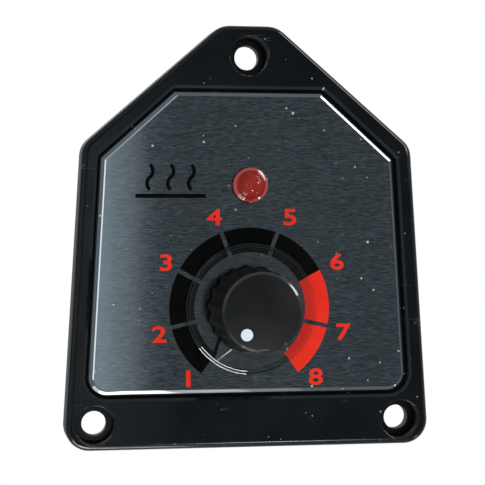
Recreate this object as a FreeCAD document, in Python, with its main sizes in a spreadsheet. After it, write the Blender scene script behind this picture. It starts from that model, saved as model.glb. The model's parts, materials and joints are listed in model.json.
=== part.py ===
import FreeCAD, Part
import math
import os
import re
import Sketcher

# Timer panel of a hand-operated impulse sealer.
# The rear rim of the panel lies on the XZ plane and its front faces -Y.
# The origin is midway between the two lower screw holes, with +Z up.

# Driving sizes in millimetres, or in degrees or as a count where the note says so
SIZES = (
    ("panel_depth", 7.0, "rear rim to front face"),
    ("panel_bottom_half", 41.4, "half width of the panel at its bottom edge"),
    ("panel_shoulder_half", 37.2, "half width of the panel at its shoulders"),
    ("panel_top_half", 6.4, "half width of the panel at its top edge"),
    ("panel_drop", 5.8, "lower screw line down to the bottom edge"),
    ("panel_shoulder_height", 61.6, "lower screw line up to the shoulders"),
    ("panel_top_height", 88.3, "lower screw line up to the top edge"),
    ("panel_draft", 1.5, "degrees that the outer wall leans in towards the front"),
    ("panel_bottom_radius", 5.5, "rounding of the bottom corners"),
    ("panel_shoulder_radius", 5.0, "rounding of the shoulders"),
    ("panel_top_radius", 6.0, "rounding of the top corners"),
    ("panel_edge_radius", 1.5, "rounding of the front edge"),
    ("panel_wall", 2.6, "front wall behind the recess"),
    ("skirt_wall", 2.4, "outer wall of the panel, seen from behind"),
    ("recess_depth", 1.55, "recess for the dial plate"),
    ("recess_clearance", 0.25, "gap round the dial plate at the recess floor"),
    ("recess_slope", 26.0, "degrees that the recess wall leans out"),
    ("recess_lip", 0.4, "chamfer of the recess lip"),
    ("screw_spacing", 68.8, "between the lower screw holes"),
    ("top_screw_height", 81.4, "lower screw line up to the top screw hole"),
    ("screw_hole_diameter", 5.5, "clearance hole of the panel screws"),
    ("screw_head_diameter", 8.6, "counterbore of the panel screws"),
    ("screw_floor", 2.8, "left under the screw head"),
    ("screw_boss_wall", 0.9, "boss standing round the counterbore"),
    ("dial_height", 25.3, "lower screw line up to the knob's axis"),
    ("plate_bottom_half", 35.9, "half width of the dial plate at its bottom edge"),
    ("plate_shoulder_half", 32.8, "half width of the dial plate at its shoulders"),
    ("plate_top_half", 16.5, "half width of the dial plate at its top edge"),
    ("plate_drop", 18.8, "knob axis down to the plate's bottom edge"),
    ("plate_shoulder_height", 33.3, "knob axis up to the plate's shoulders"),
    ("plate_top_height", 48.0, "knob axis up to the plate's top edge"),
    ("plate_thickness", 1.0, "dial plate"),
    ("plate_bottom_radius", 4.0, "rounding of the plate's bottom corners"),
    ("plate_shoulder_radius", 0.9, "rounding of the plate's shoulders"),
    ("plate_top_radius", 0.9, "rounding of the plate's top corners"),
    ("plate_bevel_width", 0.9, "polished bevel, across the face"),
    ("plate_bevel_depth", 0.5, "polished bevel, through the thickness"),
    ("adhesive_thickness", 0.15, "film under the dial plate"),
    ("adhesive_inset", 0.6, "film's edge inside the plate's edge"),
    ("lamp_height", 27.4, "knob axis up to the lamp"),
    ("lamp_diameter", 7.8, "body of the lamp"),
    ("lamp_clearance", 0.15, "radial, lamp in its hole"),
    ("lamp_proud", 0.1, "straight part of the lamp above the plate"),
    ("lamp_flange_width", 0.8, "flange of the lamp, radial"),
    ("lamp_flange_thickness", 1.2, "flange of the lamp"),
    ("lamp_flat_depth", 0.5, "flat that marks one side of the flange"),
    ("lamp_lead_pitch", 2.54, "between the lamp's wires"),
    ("lamp_spacer_diameter", 7.0, "tube behind the lamp"),
    ("lead_width", 0.6, "thickness of component wires"),
    ("lead_clearance", 0.1, "round a wire in its hole"),
    ("lead_stub", 0.8, "wire past the board"),
    ("bushing_diameter", 7.0, "threaded bushing"),
    ("bushing_clearance", 0.1, "radial, bushing in panel and plate"),
    ("bushing_chamfer", 0.4, "chamfer of the bushing's end"),
    ("thread_spare", 0.9, "bushing past its nut"),
    ("washer_diameter", 12.0, "toothed washer"),
    ("washer_thickness", 0.5, "toothed washer"),
    ("washer_tooth_depth", 1.1, "notches of the washer, radial"),
    ("washer_tooth_width", 1.0, "notches of the washer, across"),
    ("washer_teeth", 12, "count of notches"),
    ("nut_across_flats", 10.0, "hexagon nut"),
    ("nut_thickness", 2.0, "hexagon nut"),
    ("nut_chamfer", 30.0, "degrees of the nut's turned corner"),
    ("shaft_diameter", 6.0, "timer shaft"),
    ("shaft_clearance", 0.05, "radial, shaft in its bushing"),
    ("shaft_flat_depth", 1.5, "flat under the grub screw"),
    ("collar_width", 1.2, "collar of the shaft, radial"),
    ("collar_thickness", 0.8, "collar of the shaft"),
    ("collar_gap", 0.15, "collar behind the bushing's plate"),
    ("key_diameter", 4.4, "rear end of the shaft, in the rotor"),
    ("key_flat_depth", 0.9, "flat that drives the rotor"),
    ("clip_gap", 0.1, "retaining ring before the bushing"),
    ("clip_thickness", 0.6, "retaining ring"),
    ("clip_groove", 0.5, "depth of the ring's groove"),
    ("clip_width", 1.5, "retaining ring, radial"),
    ("clip_opening", 3.2, "mouth of the retaining ring"),
    ("can_diameter", 17.2, "cover of the potentiometer"),
    ("can_wall", 0.4, "sheet of the cover"),
    ("flange_thickness", 1.0, "front plate of the bushing"),
    ("tab_place", 6.6, "knob axis to the locating tab"),
    ("tab_width", 2.6, "locating tab, upright"),
    ("tab_thickness", 1.0, "locating tab, across"),
    ("tab_length", 1.2, "locating tab, into the panel"),
    ("tab_clearance", 0.15, "round the locating tab"),
    ("wafer_gap", 1.6, "front plate to wafer"),
    ("wafer_thickness", 1.0, "wafer with the track"),
    ("wafer_clearance", 0.15, "wafer in the cover"),
    ("wafer_bore_gap", 0.4, "radial, shaft through the wafer"),
    ("ear_half", 6.6, "half width of the wafer's ear"),
    ("ear_drop", 12.0, "knob axis down to the ear's edge"),
    ("pin_pitch", 5.0, "between the three lugs"),
    ("lug_width", 1.6, "lug on the ear"),
    ("lug_thickness", 0.4, "sheet of the lugs"),
    ("lug_margin", 0.6, "lug inside the ear's edge"),
    ("lug_run", 2.2, "lug along the ear"),
    ("pin_width", 0.9, "lug where it enters the board"),
    ("wiper_space", 1.5, "wafer to rotor"),
    ("wiper_thickness", 0.2, "spring contact"),
    ("wiper_inner", 3.2, "inner radius of the spring's ring"),
    ("wiper_outer", 5.4, "outer radius of the spring's ring"),
    ("wiper_finger_width", 1.2, "spring finger"),
    ("wiper_gap", 0.3, "finger to wafer"),
    ("rotor_diameter", 12.8, "carrier of the spring contact"),
    ("rotor_thickness", 2.0, "carrier of the spring contact"),
    ("rotor_gap", 0.6, "rotor to the cover's end"),
    ("stop_width", 4.4, "block in the cover that stops the rotor"),
    ("stop_rise", 1.3, "block in the cover, radial"),
    ("lug_stop_width", 3.0, "nose of the rotor"),
    ("lug_stop_gap", 0.5, "nose of the rotor to the cover"),
    ("scale_start", 35.8, "degrees from straight down to the first mark"),
    ("knob_gap", 0.8, "knob above the dial plate"),
    ("knob_height", 16.0, "knob"),
    ("knob_base_diameter", 19.6, "fluted body at the skirt"),
    ("knob_top_diameter", 17.2, "fluted body at the top"),
    ("knob_chamfer", 0.5, "top edge of the knob"),
    ("knob_roof", 3.1, "plastic over the brass sleeve"),
    ("knob_cavity_diameter", 14.0, "hollow over the nut"),
    ("knob_spigot_step", 1.0, "shoulder that sits on the skirt, radial"),
    ("flute_radius", 1.6, "hollow of the flutes"),
    ("flute_depth", 0.7, "flutes at the foot of the body"),
    ("flute_runout", 0.2, "flutes at the top of the body"),
    ("flute_count", 18, "count of flutes"),
    ("skirt_diameter", 29.0, "clear skirt"),
    ("skirt_lift", 0.2, "clear skirt above the knob's base"),
    ("skirt_thickness", 1.6, "clear skirt"),
    ("skirt_bevel", 0.7, "rim of the clear skirt"),
    ("pointer_base_width", 4.2, "pointer at the knob"),
    ("pointer_tip_width", 0.7, "pointer at its tip"),
    ("pointer_thickness", 0.8, "pointer above the skirt"),
    ("pointer_root", 1.6, "pointer inside the knob's edge"),
    ("dot_diameter", 2.6, "white dot"),
    ("dot_place", 5.85, "knob axis to the dot"),
    ("dot_depth", 0.8, "white dot, let in"),
    ("dot_proud", 0.1, "white dot above the knob"),
    ("insert_diameter", 9.6, "brass sleeve"),
    ("insert_clearance", 0.03, "radial, sleeve on the shaft"),
    ("insert_gap", 0.4, "sleeve before the retaining ring"),
    ("shaft_end_gap", 0.3, "shaft end to the sleeve's end"),
    ("grub_diameter", 3.0, "grub screw"),
    ("grub_length", 4.0, "grub screw"),
    ("grub_socket", 1.5, "grub screw, across the socket's flats"),
    ("grub_socket_depth", 1.8, "grub screw"),
    ("grub_access_gap", 0.2, "radial, hole in the knob for the grub screw"),
    ("board_gap", 1.2, "potentiometer's cover to board"),
    ("board_thickness", 1.6, "circuit board"),
    ("board_half", 24.0, "half width of the board"),
    ("board_drop", 15.0, "knob axis down to the board's lower edge"),
    ("board_rise", 36.0, "knob axis up to the board's upper edge"),
    ("board_corner", 2.0, "rounding of the board's corners"),
    ("post_across", 20.5, "knob axis to the board's posts, sideways"),
    ("post_rise", 32.5, "knob axis up to the board's posts"),
    ("post_diameter", 6.0, "posts of the panel"),
    ("board_screw_diameter", 2.4, "screws of the board"),
    ("board_screw_length", 7.0, "screws of the board, under the head"),
    ("board_screw_head", 5.2, "screws of the board, across the head"),
    ("board_screw_rise", 1.9, "screws of the board, height of the head"),
    ("board_screw_room", 0.3, "radial, screw in the board"),
    ("pilot_spare", 1.0, "screw hole past the screw's end"),
    ("relay_across", -11.0, "relay from the knob axis"),
    ("relay_up", 8.0, "relay from the knob axis"),
    ("relay_width", 19.0, "relay"),
    ("relay_height", 15.4, "relay, upright"),
    ("relay_depth", 15.0, "relay off the board"),
    ("relay_base_depth", 1.8, "foot of the relay"),
    ("relay_base_inset", 0.5, "foot of the relay inside its case"),
    ("relay_edge", 0.8, "chamfer of the relay case"),
    ("relay_pin_across", 7.0, "relay pins, sideways from its middle"),
    ("relay_coil_across", 2.1, "relay's coil pins, sideways from its middle"),
    ("relay_pin_up", 5.5, "relay pins, upright from its middle"),
    ("chip_across", -12.5, "timer chip from the knob axis"),
    ("chip_up", -7.0, "timer chip from the knob axis"),
    ("chip_width", 9.6, "timer chip"),
    ("chip_height", 6.4, "timer chip, upright"),
    ("chip_thickness", 3.3, "timer chip"),
    ("chip_lift", 0.6, "timer chip off the board"),
    ("chip_taper", 7.0, "degrees of the chip's moulded sides"),
    ("chip_notch", 0.8, "radius of the chip's end notch"),
    ("leg_pitch", 2.54, "between chip legs"),
    ("leg_row", 7.62, "between the two rows of legs"),
    ("leg_thickness", 0.3, "sheet of the legs"),
    ("leg_width", 1.2, "leg beside the chip"),
    ("timing_across", 6.5, "timing capacitor from the knob axis"),
    ("timing_up", 19.5, "timing capacitor from the knob axis"),
    ("timing_diameter", 8.0, "timing capacitor"),
    ("timing_length", 12.0, "timing capacitor"),
    ("supply_across", -13.0, "supply capacitor from the knob axis"),
    ("supply_up", 25.0, "supply capacitor from the knob axis"),
    ("supply_diameter", 10.0, "supply capacitor"),
    ("supply_length", 14.0, "supply capacitor"),
    ("can_lead_pitch", 3.5, "between the wires of a round capacitor"),
    ("can_edge", 0.5, "chamfer of a round capacitor's end"),
    ("can_vent_width", 0.3, "scored cross on a round capacitor"),
    ("can_vent_inset", 1.3, "scored cross inside a round capacitor's edge"),
    ("can_vent_depth", 0.2, "scored cross on a round capacitor"),
    ("film_across", 4.6, "film capacitor from the knob axis"),
    ("film_up", 6.0, "film capacitor from the knob axis"),
    ("film_width", 6.0, "film capacitor"),
    ("film_height", 13.0, "film capacitor, upright"),
    ("film_depth", 11.0, "film capacitor off the board"),
    ("film_edge", 0.6, "chamfer of the film capacitor"),
    ("film_lead_pitch", 10.0, "between the film capacitor's wires"),
    ("resistor_across", 11.5, "resistors from the knob axis"),
    ("resistor_up", -5.0, "first resistor from the knob axis"),
    ("resistor_count", 3, "count of resistors"),
    ("resistor_pitch", 3.4, "between resistors"),
    ("resistor_span", 10.0, "between the wires of a resistor"),
    ("resistor_length", 6.2, "resistor"),
    ("resistor_diameter", 2.5, "resistor"),
    ("diode_across", 9.5, "diodes from the knob axis"),
    ("diode_up", 33.6, "first diode from the knob axis"),
    ("diode_count", 3, "count of diodes"),
    ("diode_pitch", 3.6, "between diodes"),
    ("diode_span", 10.0, "between the wires of a diode"),
    ("diode_length", 5.0, "diode"),
    ("diode_diameter", 2.7, "diode"),
    ("axial_lift", 0.3, "resistors and diodes off the board"),
    ("axial_bend", 0.7, "corner taken off the bend of their wires"),
    ("transistor_across", 3.6, "transistor from the knob axis"),
    ("transistor_up", -6.5, "transistor from the knob axis"),
    ("transistor_diameter", 4.6, "transistor"),
    ("transistor_flat", 0.8, "flat of the transistor off its axis"),
    ("transistor_length", 4.6, "transistor"),
    ("transistor_lift", 2.6, "transistor off the board"),
    ("transistor_pitch", 1.27, "between the transistor's legs"),
    ("blade_across", 17.4, "push-on blades from the knob axis"),
    ("blade_up", -0.5, "lowest blade from the knob axis"),
    ("blade_count", 4, "count of blades"),
    ("blade_pitch", 7.4, "between blades"),
    ("blade_width", 6.3, "push-on blade"),
    ("blade_thickness", 0.8, "push-on blade"),
    ("blade_length", 10.5, "push-on blade off the board"),
    ("blade_tip", 1.3, "chamfer of the blade's tip"),
    ("blade_hole", 1.7, "latch slot of the blade, square"),
    ("blade_hole_place", 3.4, "latch slot from the blade's tip"),
    ("blade_foot", 1.5, "blade through the board"),
)

SHEET = "Dims"
NAMES = {name for name, size, note in SIZES}

doc = FreeCAD.newDocument("TimerPanel")
sheet = doc.addObject("Spreadsheet::Sheet", SHEET)
for line, (name, size, note) in enumerate(SIZES, 1):
    sheet.set(f"A{line}", name)
    sheet.set(f"B{line}", str(size))
    sheet.set(f"C{line}", note)
    sheet.setAlias(f"B{line}", name)
doc.recompute()


def bound(formula):
    """Address every size named in a formula by its cell."""
    return re.sub(r"[a-z_]+", lambda m: f"{SHEET}.{m[0]}" if m[0] in NAMES else m[0], formula)


def amount(formula):
    """The present value of a formula, as a plain number."""
    result = sheet.evalExpression(bound(formula))
    return float(getattr(result, "Value", result))


def count(name):
    """A size that is a number of copies."""
    return round(amount(name))


# Levels, as distances ahead of the rear rim towards the viewer
RECESS_FLOOR = "(panel_depth - recess_depth)"
PLATE_BACK = f"({RECESS_FLOOR} + adhesive_thickness)"
PLATE_FACE = f"({PLATE_BACK} + plate_thickness)"
SEAT = f"({RECESS_FLOOR} - panel_wall)"
NUT_BACK = f"({PLATE_FACE} + washer_thickness)"
NUT_FRONT = f"({NUT_BACK} + nut_thickness)"
BUSHING_END = f"({NUT_FRONT} + thread_spare)"
CLIP_BACK = f"({BUSHING_END} + clip_gap)"
CLIP_FRONT = f"({CLIP_BACK} + clip_thickness)"
KNOB_BASE = f"({PLATE_FACE} + knob_gap)"
KNOB_TOP = f"({KNOB_BASE} + knob_height)"
SKIRT_BACK = f"({KNOB_BASE} + skirt_lift)"
SKIRT_FRONT = f"({SKIRT_BACK} + skirt_thickness)"
INSERT_BACK = f"({CLIP_FRONT} + insert_gap)"
INSERT_FRONT = f"({KNOB_TOP} - knob_roof)"
SHAFT_END = f"({INSERT_FRONT} - shaft_end_gap)"
GRUB_LEVEL = f"(({INSERT_BACK} + {INSERT_FRONT}) / 2)"
FLANGE_BACK = f"({SEAT} - flange_thickness)"
COLLAR_FRONT = f"({FLANGE_BACK} - collar_gap)"
COLLAR_BACK = f"({COLLAR_FRONT} - collar_thickness)"
WAFER_FRONT = f"({FLANGE_BACK} - wafer_gap)"
WAFER_BACK = f"({WAFER_FRONT} - wafer_thickness)"
ROTOR_FRONT = f"({WAFER_BACK} - wiper_space)"
ROTOR_BACK = f"({ROTOR_FRONT} - rotor_thickness)"
CAN_FLOOR = f"({ROTOR_BACK} - rotor_gap)"
CAN_BACK = f"({CAN_FLOOR} - can_wall)"
BOARD_FRONT = f"({CAN_BACK} - board_gap)"
BOARD_REAR = f"({BOARD_FRONT} - board_thickness)"
LAMP_BACK = f"({SEAT} - lamp_flange_thickness)"
LEAD_FRONT = f"({BOARD_FRONT} + lead_stub)"
LEAD_REAR = f"({BOARD_REAR} - lead_stub)"

# Radii and places that more than one piece shares
SHAFT_RADIUS = "(shaft_diameter / 2)"
SHAFT_FLAT = f"({SHAFT_RADIUS} - shaft_flat_depth)"
KEY_FLAT = "(key_diameter / 2 - key_flat_depth)"
CAN_INNER = "(can_diameter / 2 - can_wall)"
SPIGOT_RADIUS = "(knob_base_diameter / 2 - knob_spigot_step)"
INSERT_RADIUS = "(insert_diameter / 2)"
WIRE_HALF = "(lead_width / 2)"
HOLE_HALF = "(lead_width / 2 + lead_clearance)"
BOARD_POSTS = [(f"{side} * post_across", "post_rise") for side in (-1, 1)]
PANEL_SCREWS = [("-screw_spacing / 2", "0"), ("screw_spacing / 2", "0"), ("0", "top_screw_height")]


# Drawing helpers

def new_body(label, across="0", up="dial_height", turn="0"):
    """A sub-part whose own axes meet at a point beside the lower screw line, turned about the knob axis."""
    body = doc.addObject("PartDesign::Body", label)
    body.Label = label
    turned = FreeCAD.Rotation(FreeCAD.Vector(0, 1, 0), amount(turn))
    body.Placement = FreeCAD.Placement(FreeCAD.Vector(amount(across), 0, amount(up)), turned)
    body.setExpression("Placement.Base.x", bound(across))
    body.setExpression("Placement.Base.z", bound(up))
    if turn != "0":
        body.setExpression("Placement.Rotation.Angle", bound(f"{turn} * 1 deg"))
    return body


def new_sketch(body, level="0", plane="XZ_Plane", lean=None):
    """A sketch on one of the body's own planes, moved along its normal and leant about its X axis."""
    sketch = body.newObject("Sketcher::SketchObject", f"{body.Label}_sketch")
    support = next(item for item in body.Origin.OriginFeatures if item.Role == plane)
    sketch.AttachmentSupport = (support, [""])
    sketch.MapMode = "FlatFace"
    if lean:
        turned = FreeCAD.Rotation(FreeCAD.Vector(-1, 0, 0), amount(lean))
        sketch.AttachmentOffset = FreeCAD.Placement(FreeCAD.Vector(), turned)
        sketch.setExpression("AttachmentOffset.Rotation.Angle", bound(lean))
    sketch.setExpression("AttachmentOffset.Base.z", bound(level))
    return sketch


def pin(sketch, geometry, point, x, y):
    """Hold a sketch point at two formulas."""
    for kind, formula, axis in (("DistanceX", x, -2), ("DistanceY", y, -1)):
        if formula == "0":
            sketch.addConstraint(Sketcher.Constraint("PointOnObject", geometry, point, axis))
            continue
        index = sketch.addConstraint(
            Sketcher.Constraint(kind, -1, 1, geometry, point, amount(formula))
        )
        sketch.setExpression(f"Constraints[{index}]", bound(formula))


def hold_radius(sketch, geometry, radius):
    index = sketch.addConstraint(Sketcher.Constraint("Radius", geometry, amount(radius)))
    sketch.setExpression(f"Constraints[{index}]", bound(radius))


def draw_outline(sketch, corners, arcs=None, closed=True):
    """Edges from corner to corner, with arcs that turn left round a centre where an edge has one."""
    arcs = arcs or {}
    spots = [FreeCAD.Vector(amount(x), amount(y), 0) for x, y in corners]
    first = sketch.GeometryCount
    edges = len(spots) if closed else len(spots) - 1
    for number in range(edges):
        start, end = spots[number], spots[(number + 1) % len(spots)]
        if number in arcs:
            centre_x, centre_y, radius = arcs[number]
            centre = FreeCAD.Vector(amount(centre_x), amount(centre_y), 0)
            circle = Part.Circle(centre, FreeCAD.Vector(0, 0, 1), amount(radius))
            angles = [math.atan2(spot.y - centre.y, spot.x - centre.x) for spot in (start, end)]
            sketch.addGeometry(Part.ArcOfCircle(circle, *angles), False)
        else:
            sketch.addGeometry(Part.LineSegment(start, end), False)
    for number in range(edges if closed else edges - 1):
        following = first + (number + 1) % edges
        sketch.addConstraint(Sketcher.Constraint("Coincident", first + number, 2, following, 1))
    for number, (x, y) in enumerate(corners[:edges]):
        pin(sketch, first + number, 1, x, y)
    if not closed:
        pin(sketch, first + edges - 1, 2, *corners[-1])
    for number, (centre_x, centre_y, radius) in arcs.items():
        hold_radius(sketch, first + number, radius)


def draw_circle(sketch, x, y, radius):
    centre = FreeCAD.Vector(amount(x), amount(y), 0)
    circle = Part.Circle(centre, FreeCAD.Vector(0, 0, 1), amount(radius))
    geometry = sketch.addGeometry(circle, False)
    pin(sketch, geometry, 3, x, y)
    hold_radius(sketch, geometry, radius)


def draw_box(sketch, x, y, half_width, half_height):
    """A rectangle about its middle."""
    left, right = f"{x} - {half_width}", f"{x} + {half_width}"
    low, high = f"{y} - {half_height}", f"{y} + {half_height}"
    draw_outline(sketch, [(left, low), (right, low), (right, high), (left, high)])


def settle(feature, before=None, cuts=False):
    """Rebuild, and stop if a feature failed, or a cut took nothing away."""
    doc.recompute()
    if "Invalid" in feature.State or "Error" in feature.State:
        raise RuntimeError(f"{feature.Label} failed")
    if cuts and feature.Shape.Volume > before - 1e-6:
        raise RuntimeError(f"{feature.Label} cut nothing")
    return feature


def pad(body, sketch, length, rearward=False, lean=None):
    """Raise a sketch towards the front, or towards the rear."""
    feature = body.newObject("PartDesign::Pad", f"{body.Label}_pad")
    feature.Profile = sketch
    feature.Reversed = rearward
    feature.setExpression("Length", bound(length))
    if lean:
        feature.setExpression("TaperAngle", bound(lean))
    return settle(feature)


def pocket(body, sketch, depth=None, forward=False, lean=None):
    """Cut a sketch rearward, or forward, to a depth or right through."""
    before = body.Tip.Shape.Volume
    feature = body.newObject("PartDesign::Pocket", f"{body.Label}_pocket")
    feature.Profile = sketch
    feature.Reversed = forward
    if depth:
        feature.setExpression("Length", bound(depth))
    else:
        feature.Type = "ThroughAll"
    if lean:
        feature.setExpression("TaperAngle", bound(lean))
    return settle(feature, before, cuts=True)


def lathe(body, profile, arcs=None, kind="Revolution"):
    """Turn a profile of radius and level about the body's Y axis."""
    before = body.Tip.Shape.Volume if body.Tip else 0
    sketch = new_sketch(body, plane="XY_Plane")
    draw_outline(sketch, [(radius, f"-({level})") for radius, level in profile], arcs)
    feature = body.newObject(f"PartDesign::{kind}", f"{body.Label}_{kind.lower()}")
    feature.Profile = sketch
    feature.ReferenceAxis = (sketch, ["V_Axis"])
    feature.Angle = 360
    return settle(feature, before, cuts=kind == "Groove")


def edge_names(shape, chosen):
    return [
        f"Edge{number}"
        for number, edge in enumerate(shape.Edges, 1)
        if any(edge.isSame(other) for other in chosen)
    ]


def face_at(shape, level):
    """The largest flat face at a level ahead of the rear rim."""
    depth = -amount(level)
    flat = [face for face in shape.Faces if face.BoundBox.YLength < 1e-6]
    return max(
        (face for face in flat if abs(face.CenterOfMass.y - depth) < 1e-4), key=lambda face: face.Area
    )


def corner_edges(shape, corners, level):
    """Edges that leave a level at the given corners."""
    spots = [FreeCAD.Vector(amount(x), -amount(level), amount(z)) for x, z in corners]
    return [
        edge
        for edge in shape.Edges
        if len(edge.Vertexes) == 2
        and edge.BoundBox.YLength > 1e-3
        and any(end.Point.distanceToPoint(spot) < 1e-3 for end in edge.Vertexes for spot in spots)
    ]


def round_edges(body, edges, radius):
    base = body.Tip
    feature = body.newObject("PartDesign::Fillet", f"{body.Label}_fillet")
    feature.Base = (base, edge_names(base.Shape, edges))
    feature.setExpression("Radius", bound(radius))
    return settle(feature)


def bevel_edges(body, edges, size, second=None):
    """Chamfer edges evenly, or by one distance down and a second one across."""
    base = body.Tip
    feature = body.newObject("PartDesign::Chamfer", f"{body.Label}_bevel")
    feature.Base = (base, edge_names(base.Shape, edges))
    feature.setExpression("Size", bound(size))
    if second:
        feature.ChamferType = "Two distances"
        feature.setExpression("Size2", bound(second))
    return settle(feature)


def polar(body, feature, copies):
    """Repeat a feature round the body's Y axis."""
    pattern = body.newObject("PartDesign::PolarPattern", f"{body.Label}_polar")
    pattern.Originals = [feature]
    axis = next(item for item in body.Origin.OriginFeatures if item.Role == "Y_Axis")
    pattern.Axis = (axis, [""])
    pattern.Angle = 360
    pattern.setExpression("Occurrences", bound(copies))
    body.Tip = pattern
    return settle(pattern)


def row(body, features, copies, pitch, downward=False):
    """Repeat features upright, up or down the board."""
    pattern = body.newObject("PartDesign::LinearPattern", f"{body.Label}_row")
    pattern.Originals = features
    axis = next(item for item in body.Origin.OriginFeatures if item.Role == "Z_Axis")
    pattern.Direction = (axis, [""])
    pattern.Reversed = downward
    pattern.setExpression("Length", bound(f"({copies} - 1) * {pitch}"))
    pattern.setExpression("Occurrences", bound(copies))
    body.Tip = pattern
    return settle(pattern)


def house(kind, lift="0", grow="0"):
    """The panel's or the plate's rounded outline, grown evenly by a distance: its points and its arcs."""
    lean = f"atan(({kind}_bottom_half - {kind}_shoulder_half) / ({kind}_shoulder_height + {kind}_drop))"
    rake = f"atan(({kind}_shoulder_half - {kind}_top_half) / ({kind}_top_height - {kind}_shoulder_height))"
    share = f"({grow}) / (1 + cos({rake} - {lean}))"
    # the three corners of the right half, each with the headings of the edges before and after it
    right = (
        (
            f"{kind}_bottom_half + ({grow}) * (tan({lean}) + 1 / cos({lean}))",
            f"{lift} - {kind}_drop - ({grow})",
            "0 deg",
            f"(90 deg + {lean})",
            f"({kind}_bottom_radius + {grow})",
        ),
        (
            f"{kind}_shoulder_half + {share} * (cos({lean}) + cos({rake}))",
            f"{lift} + {kind}_shoulder_height + {share} * (sin({lean}) + sin({rake}))",
            f"(90 deg + {lean})",
            f"(90 deg + {rake})",
            f"({kind}_shoulder_radius + {grow})",
        ),
        (
            f"{kind}_top_half + ({grow}) * cos({rake}) / (1 + sin({rake}))",
            f"{lift} + {kind}_top_height + ({grow})",
            f"(90 deg + {rake})",
            "180 deg",
            f"({kind}_top_radius + {grow})",
        ),
    )
    points, middles = [], []
    for x, z, before, after, radius in right:
        cut = f"{radius} * tan(({after} - {before}) / 2)"
        start = (f"{x} - {cut} * cos({before})", f"{z} - {cut} * sin({before})")
        end = (f"{x} + {cut} * cos({after})", f"{z} + {cut} * sin({after})")
        points += [start, end]
        middle = (f"{start[0]} - {radius} * sin({before})", f"{start[1]} + {radius} * cos({before})")
        middles.append((*middle, radius))
    points += [(f"-({x})", z) for x, z in reversed(points)]
    middles += [(f"-({x})", z, radius) for x, z, radius in reversed(middles)]
    return points, {2 * number: middle for number, middle in enumerate(middles)}


# The moulded panel

def front_panel():
    body = new_body("front_panel", up="0")
    sketch = new_sketch(body)
    draw_outline(sketch, *house("panel"))
    pad(body, sketch, "panel_depth", lean="-panel_draft")

    # recess for the dial plate, with leaning walls
    sketch = new_sketch(body, "panel_depth")
    lip = "recess_clearance + recess_depth * tan(recess_slope)"
    draw_outline(sketch, *house("plate", "dial_height", lip))
    pocket(body, sketch, "recess_depth", lean="-recess_slope")
    front = face_at(body.Tip.Shape, "panel_depth")
    rim = front.OuterWire.Edges
    lips = [edge for wire in front.Wires if not wire.isSame(front.OuterWire) for edge in wire.Edges]
    bevel_edges(body, lips, "recess_lip")
    round_edges(body, matching(body.Tip.Shape, rim), "panel_edge_radius")

    # hollow behind the front wall
    sketch = new_sketch(body)
    draw_outline(sketch, *house("panel", grow="-skirt_wall"))
    pocket(body, sketch, SEAT, forward=True)

    # bosses and counterbored holes of the three panel screws
    sketch = new_sketch(body)
    for x, z in PANEL_SCREWS:
        draw_circle(sketch, x, z, "screw_head_diameter / 2 + screw_boss_wall")
    pad(body, sketch, f"{SEAT} + panel_wall / 2")
    sketch = new_sketch(body, "panel_depth")
    for x, z in PANEL_SCREWS:
        draw_circle(sketch, x, z, "screw_hole_diameter / 2")
    pocket(body, sketch)
    sketch = new_sketch(body, "panel_depth")
    for x, z in PANEL_SCREWS:
        draw_circle(sketch, x, z, "screw_head_diameter / 2")
    pocket(body, sketch, "panel_depth - screw_floor")

    # posts at the circuit board's upper corners, as the potentiometer carries its lower half
    sketch = new_sketch(body, BOARD_FRONT)
    for x, z in BOARD_POSTS:
        draw_circle(sketch, x, f"dial_height + {z}", "post_diameter / 2")
    pad(body, sketch, f"{SEAT} - {BOARD_FRONT} + panel_wall / 2")
    sketch = new_sketch(body, BOARD_FRONT)
    for x, z in BOARD_POSTS:
        draw_circle(sketch, x, f"dial_height + {z}", "board_screw_diameter / 2")
    pocket(body, sketch, "board_screw_length - board_thickness + pilot_spare", forward=True)

    # holes of the lamp and the bushing, and the slot of the locating tab
    sketch = new_sketch(body, "panel_depth")
    draw_circle(sketch, "0", "dial_height + lamp_height", "lamp_diameter / 2 + lamp_clearance")
    draw_circle(sketch, "0", "dial_height", "bushing_diameter / 2 + bushing_clearance")
    pocket(body, sketch)
    sketch = new_sketch(body, SEAT)
    draw_box(
        sketch,
        "-tab_place",
        "dial_height",
        "(tab_thickness / 2 + tab_clearance)",
        "(tab_width / 2 + tab_clearance)",
    )
    pocket(body, sketch, "tab_length + tab_clearance", forward=True)
    return body


def matching(shape, edges):
    """Edges of a rebuilt shape that lie where the given edges lay."""
    middles = [edge.valueAt((edge.FirstParameter + edge.LastParameter) / 2) for edge in edges]
    return [
        edge
        for edge in shape.Edges
        if any(
            edge.valueAt((edge.FirstParameter + edge.LastParameter) / 2).distanceToPoint(middle) < 1e-4
            for middle in middles
        )
    ]


# The dial plate and the film that holds it

def plate_holes(sketch):
    draw_circle(sketch, "0", "lamp_height", "lamp_diameter / 2 + lamp_clearance")
    draw_circle(sketch, "0", "0", "bushing_diameter / 2 + bushing_clearance")


def dial_plate():
    body = new_body("dial_plate")
    sketch = new_sketch(body, PLATE_BACK)
    draw_outline(sketch, *house("plate"))
    pad(body, sketch, "plate_thickness")
    edges = face_at(body.Tip.Shape, PLATE_FACE).OuterWire.Edges
    bevel_edges(body, edges, "plate_bevel_depth", "plate_bevel_width")
    sketch = new_sketch(body, PLATE_FACE)
    plate_holes(sketch)
    pocket(body, sketch)
    return body


def plate_adhesive():
    body = new_body("plate_adhesive")
    sketch = new_sketch(body, RECESS_FLOOR)
    draw_outline(sketch, *house("plate", grow="-adhesive_inset"))
    plate_holes(sketch)
    pad(body, sketch, "adhesive_thickness")
    return body


# The lamp

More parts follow.
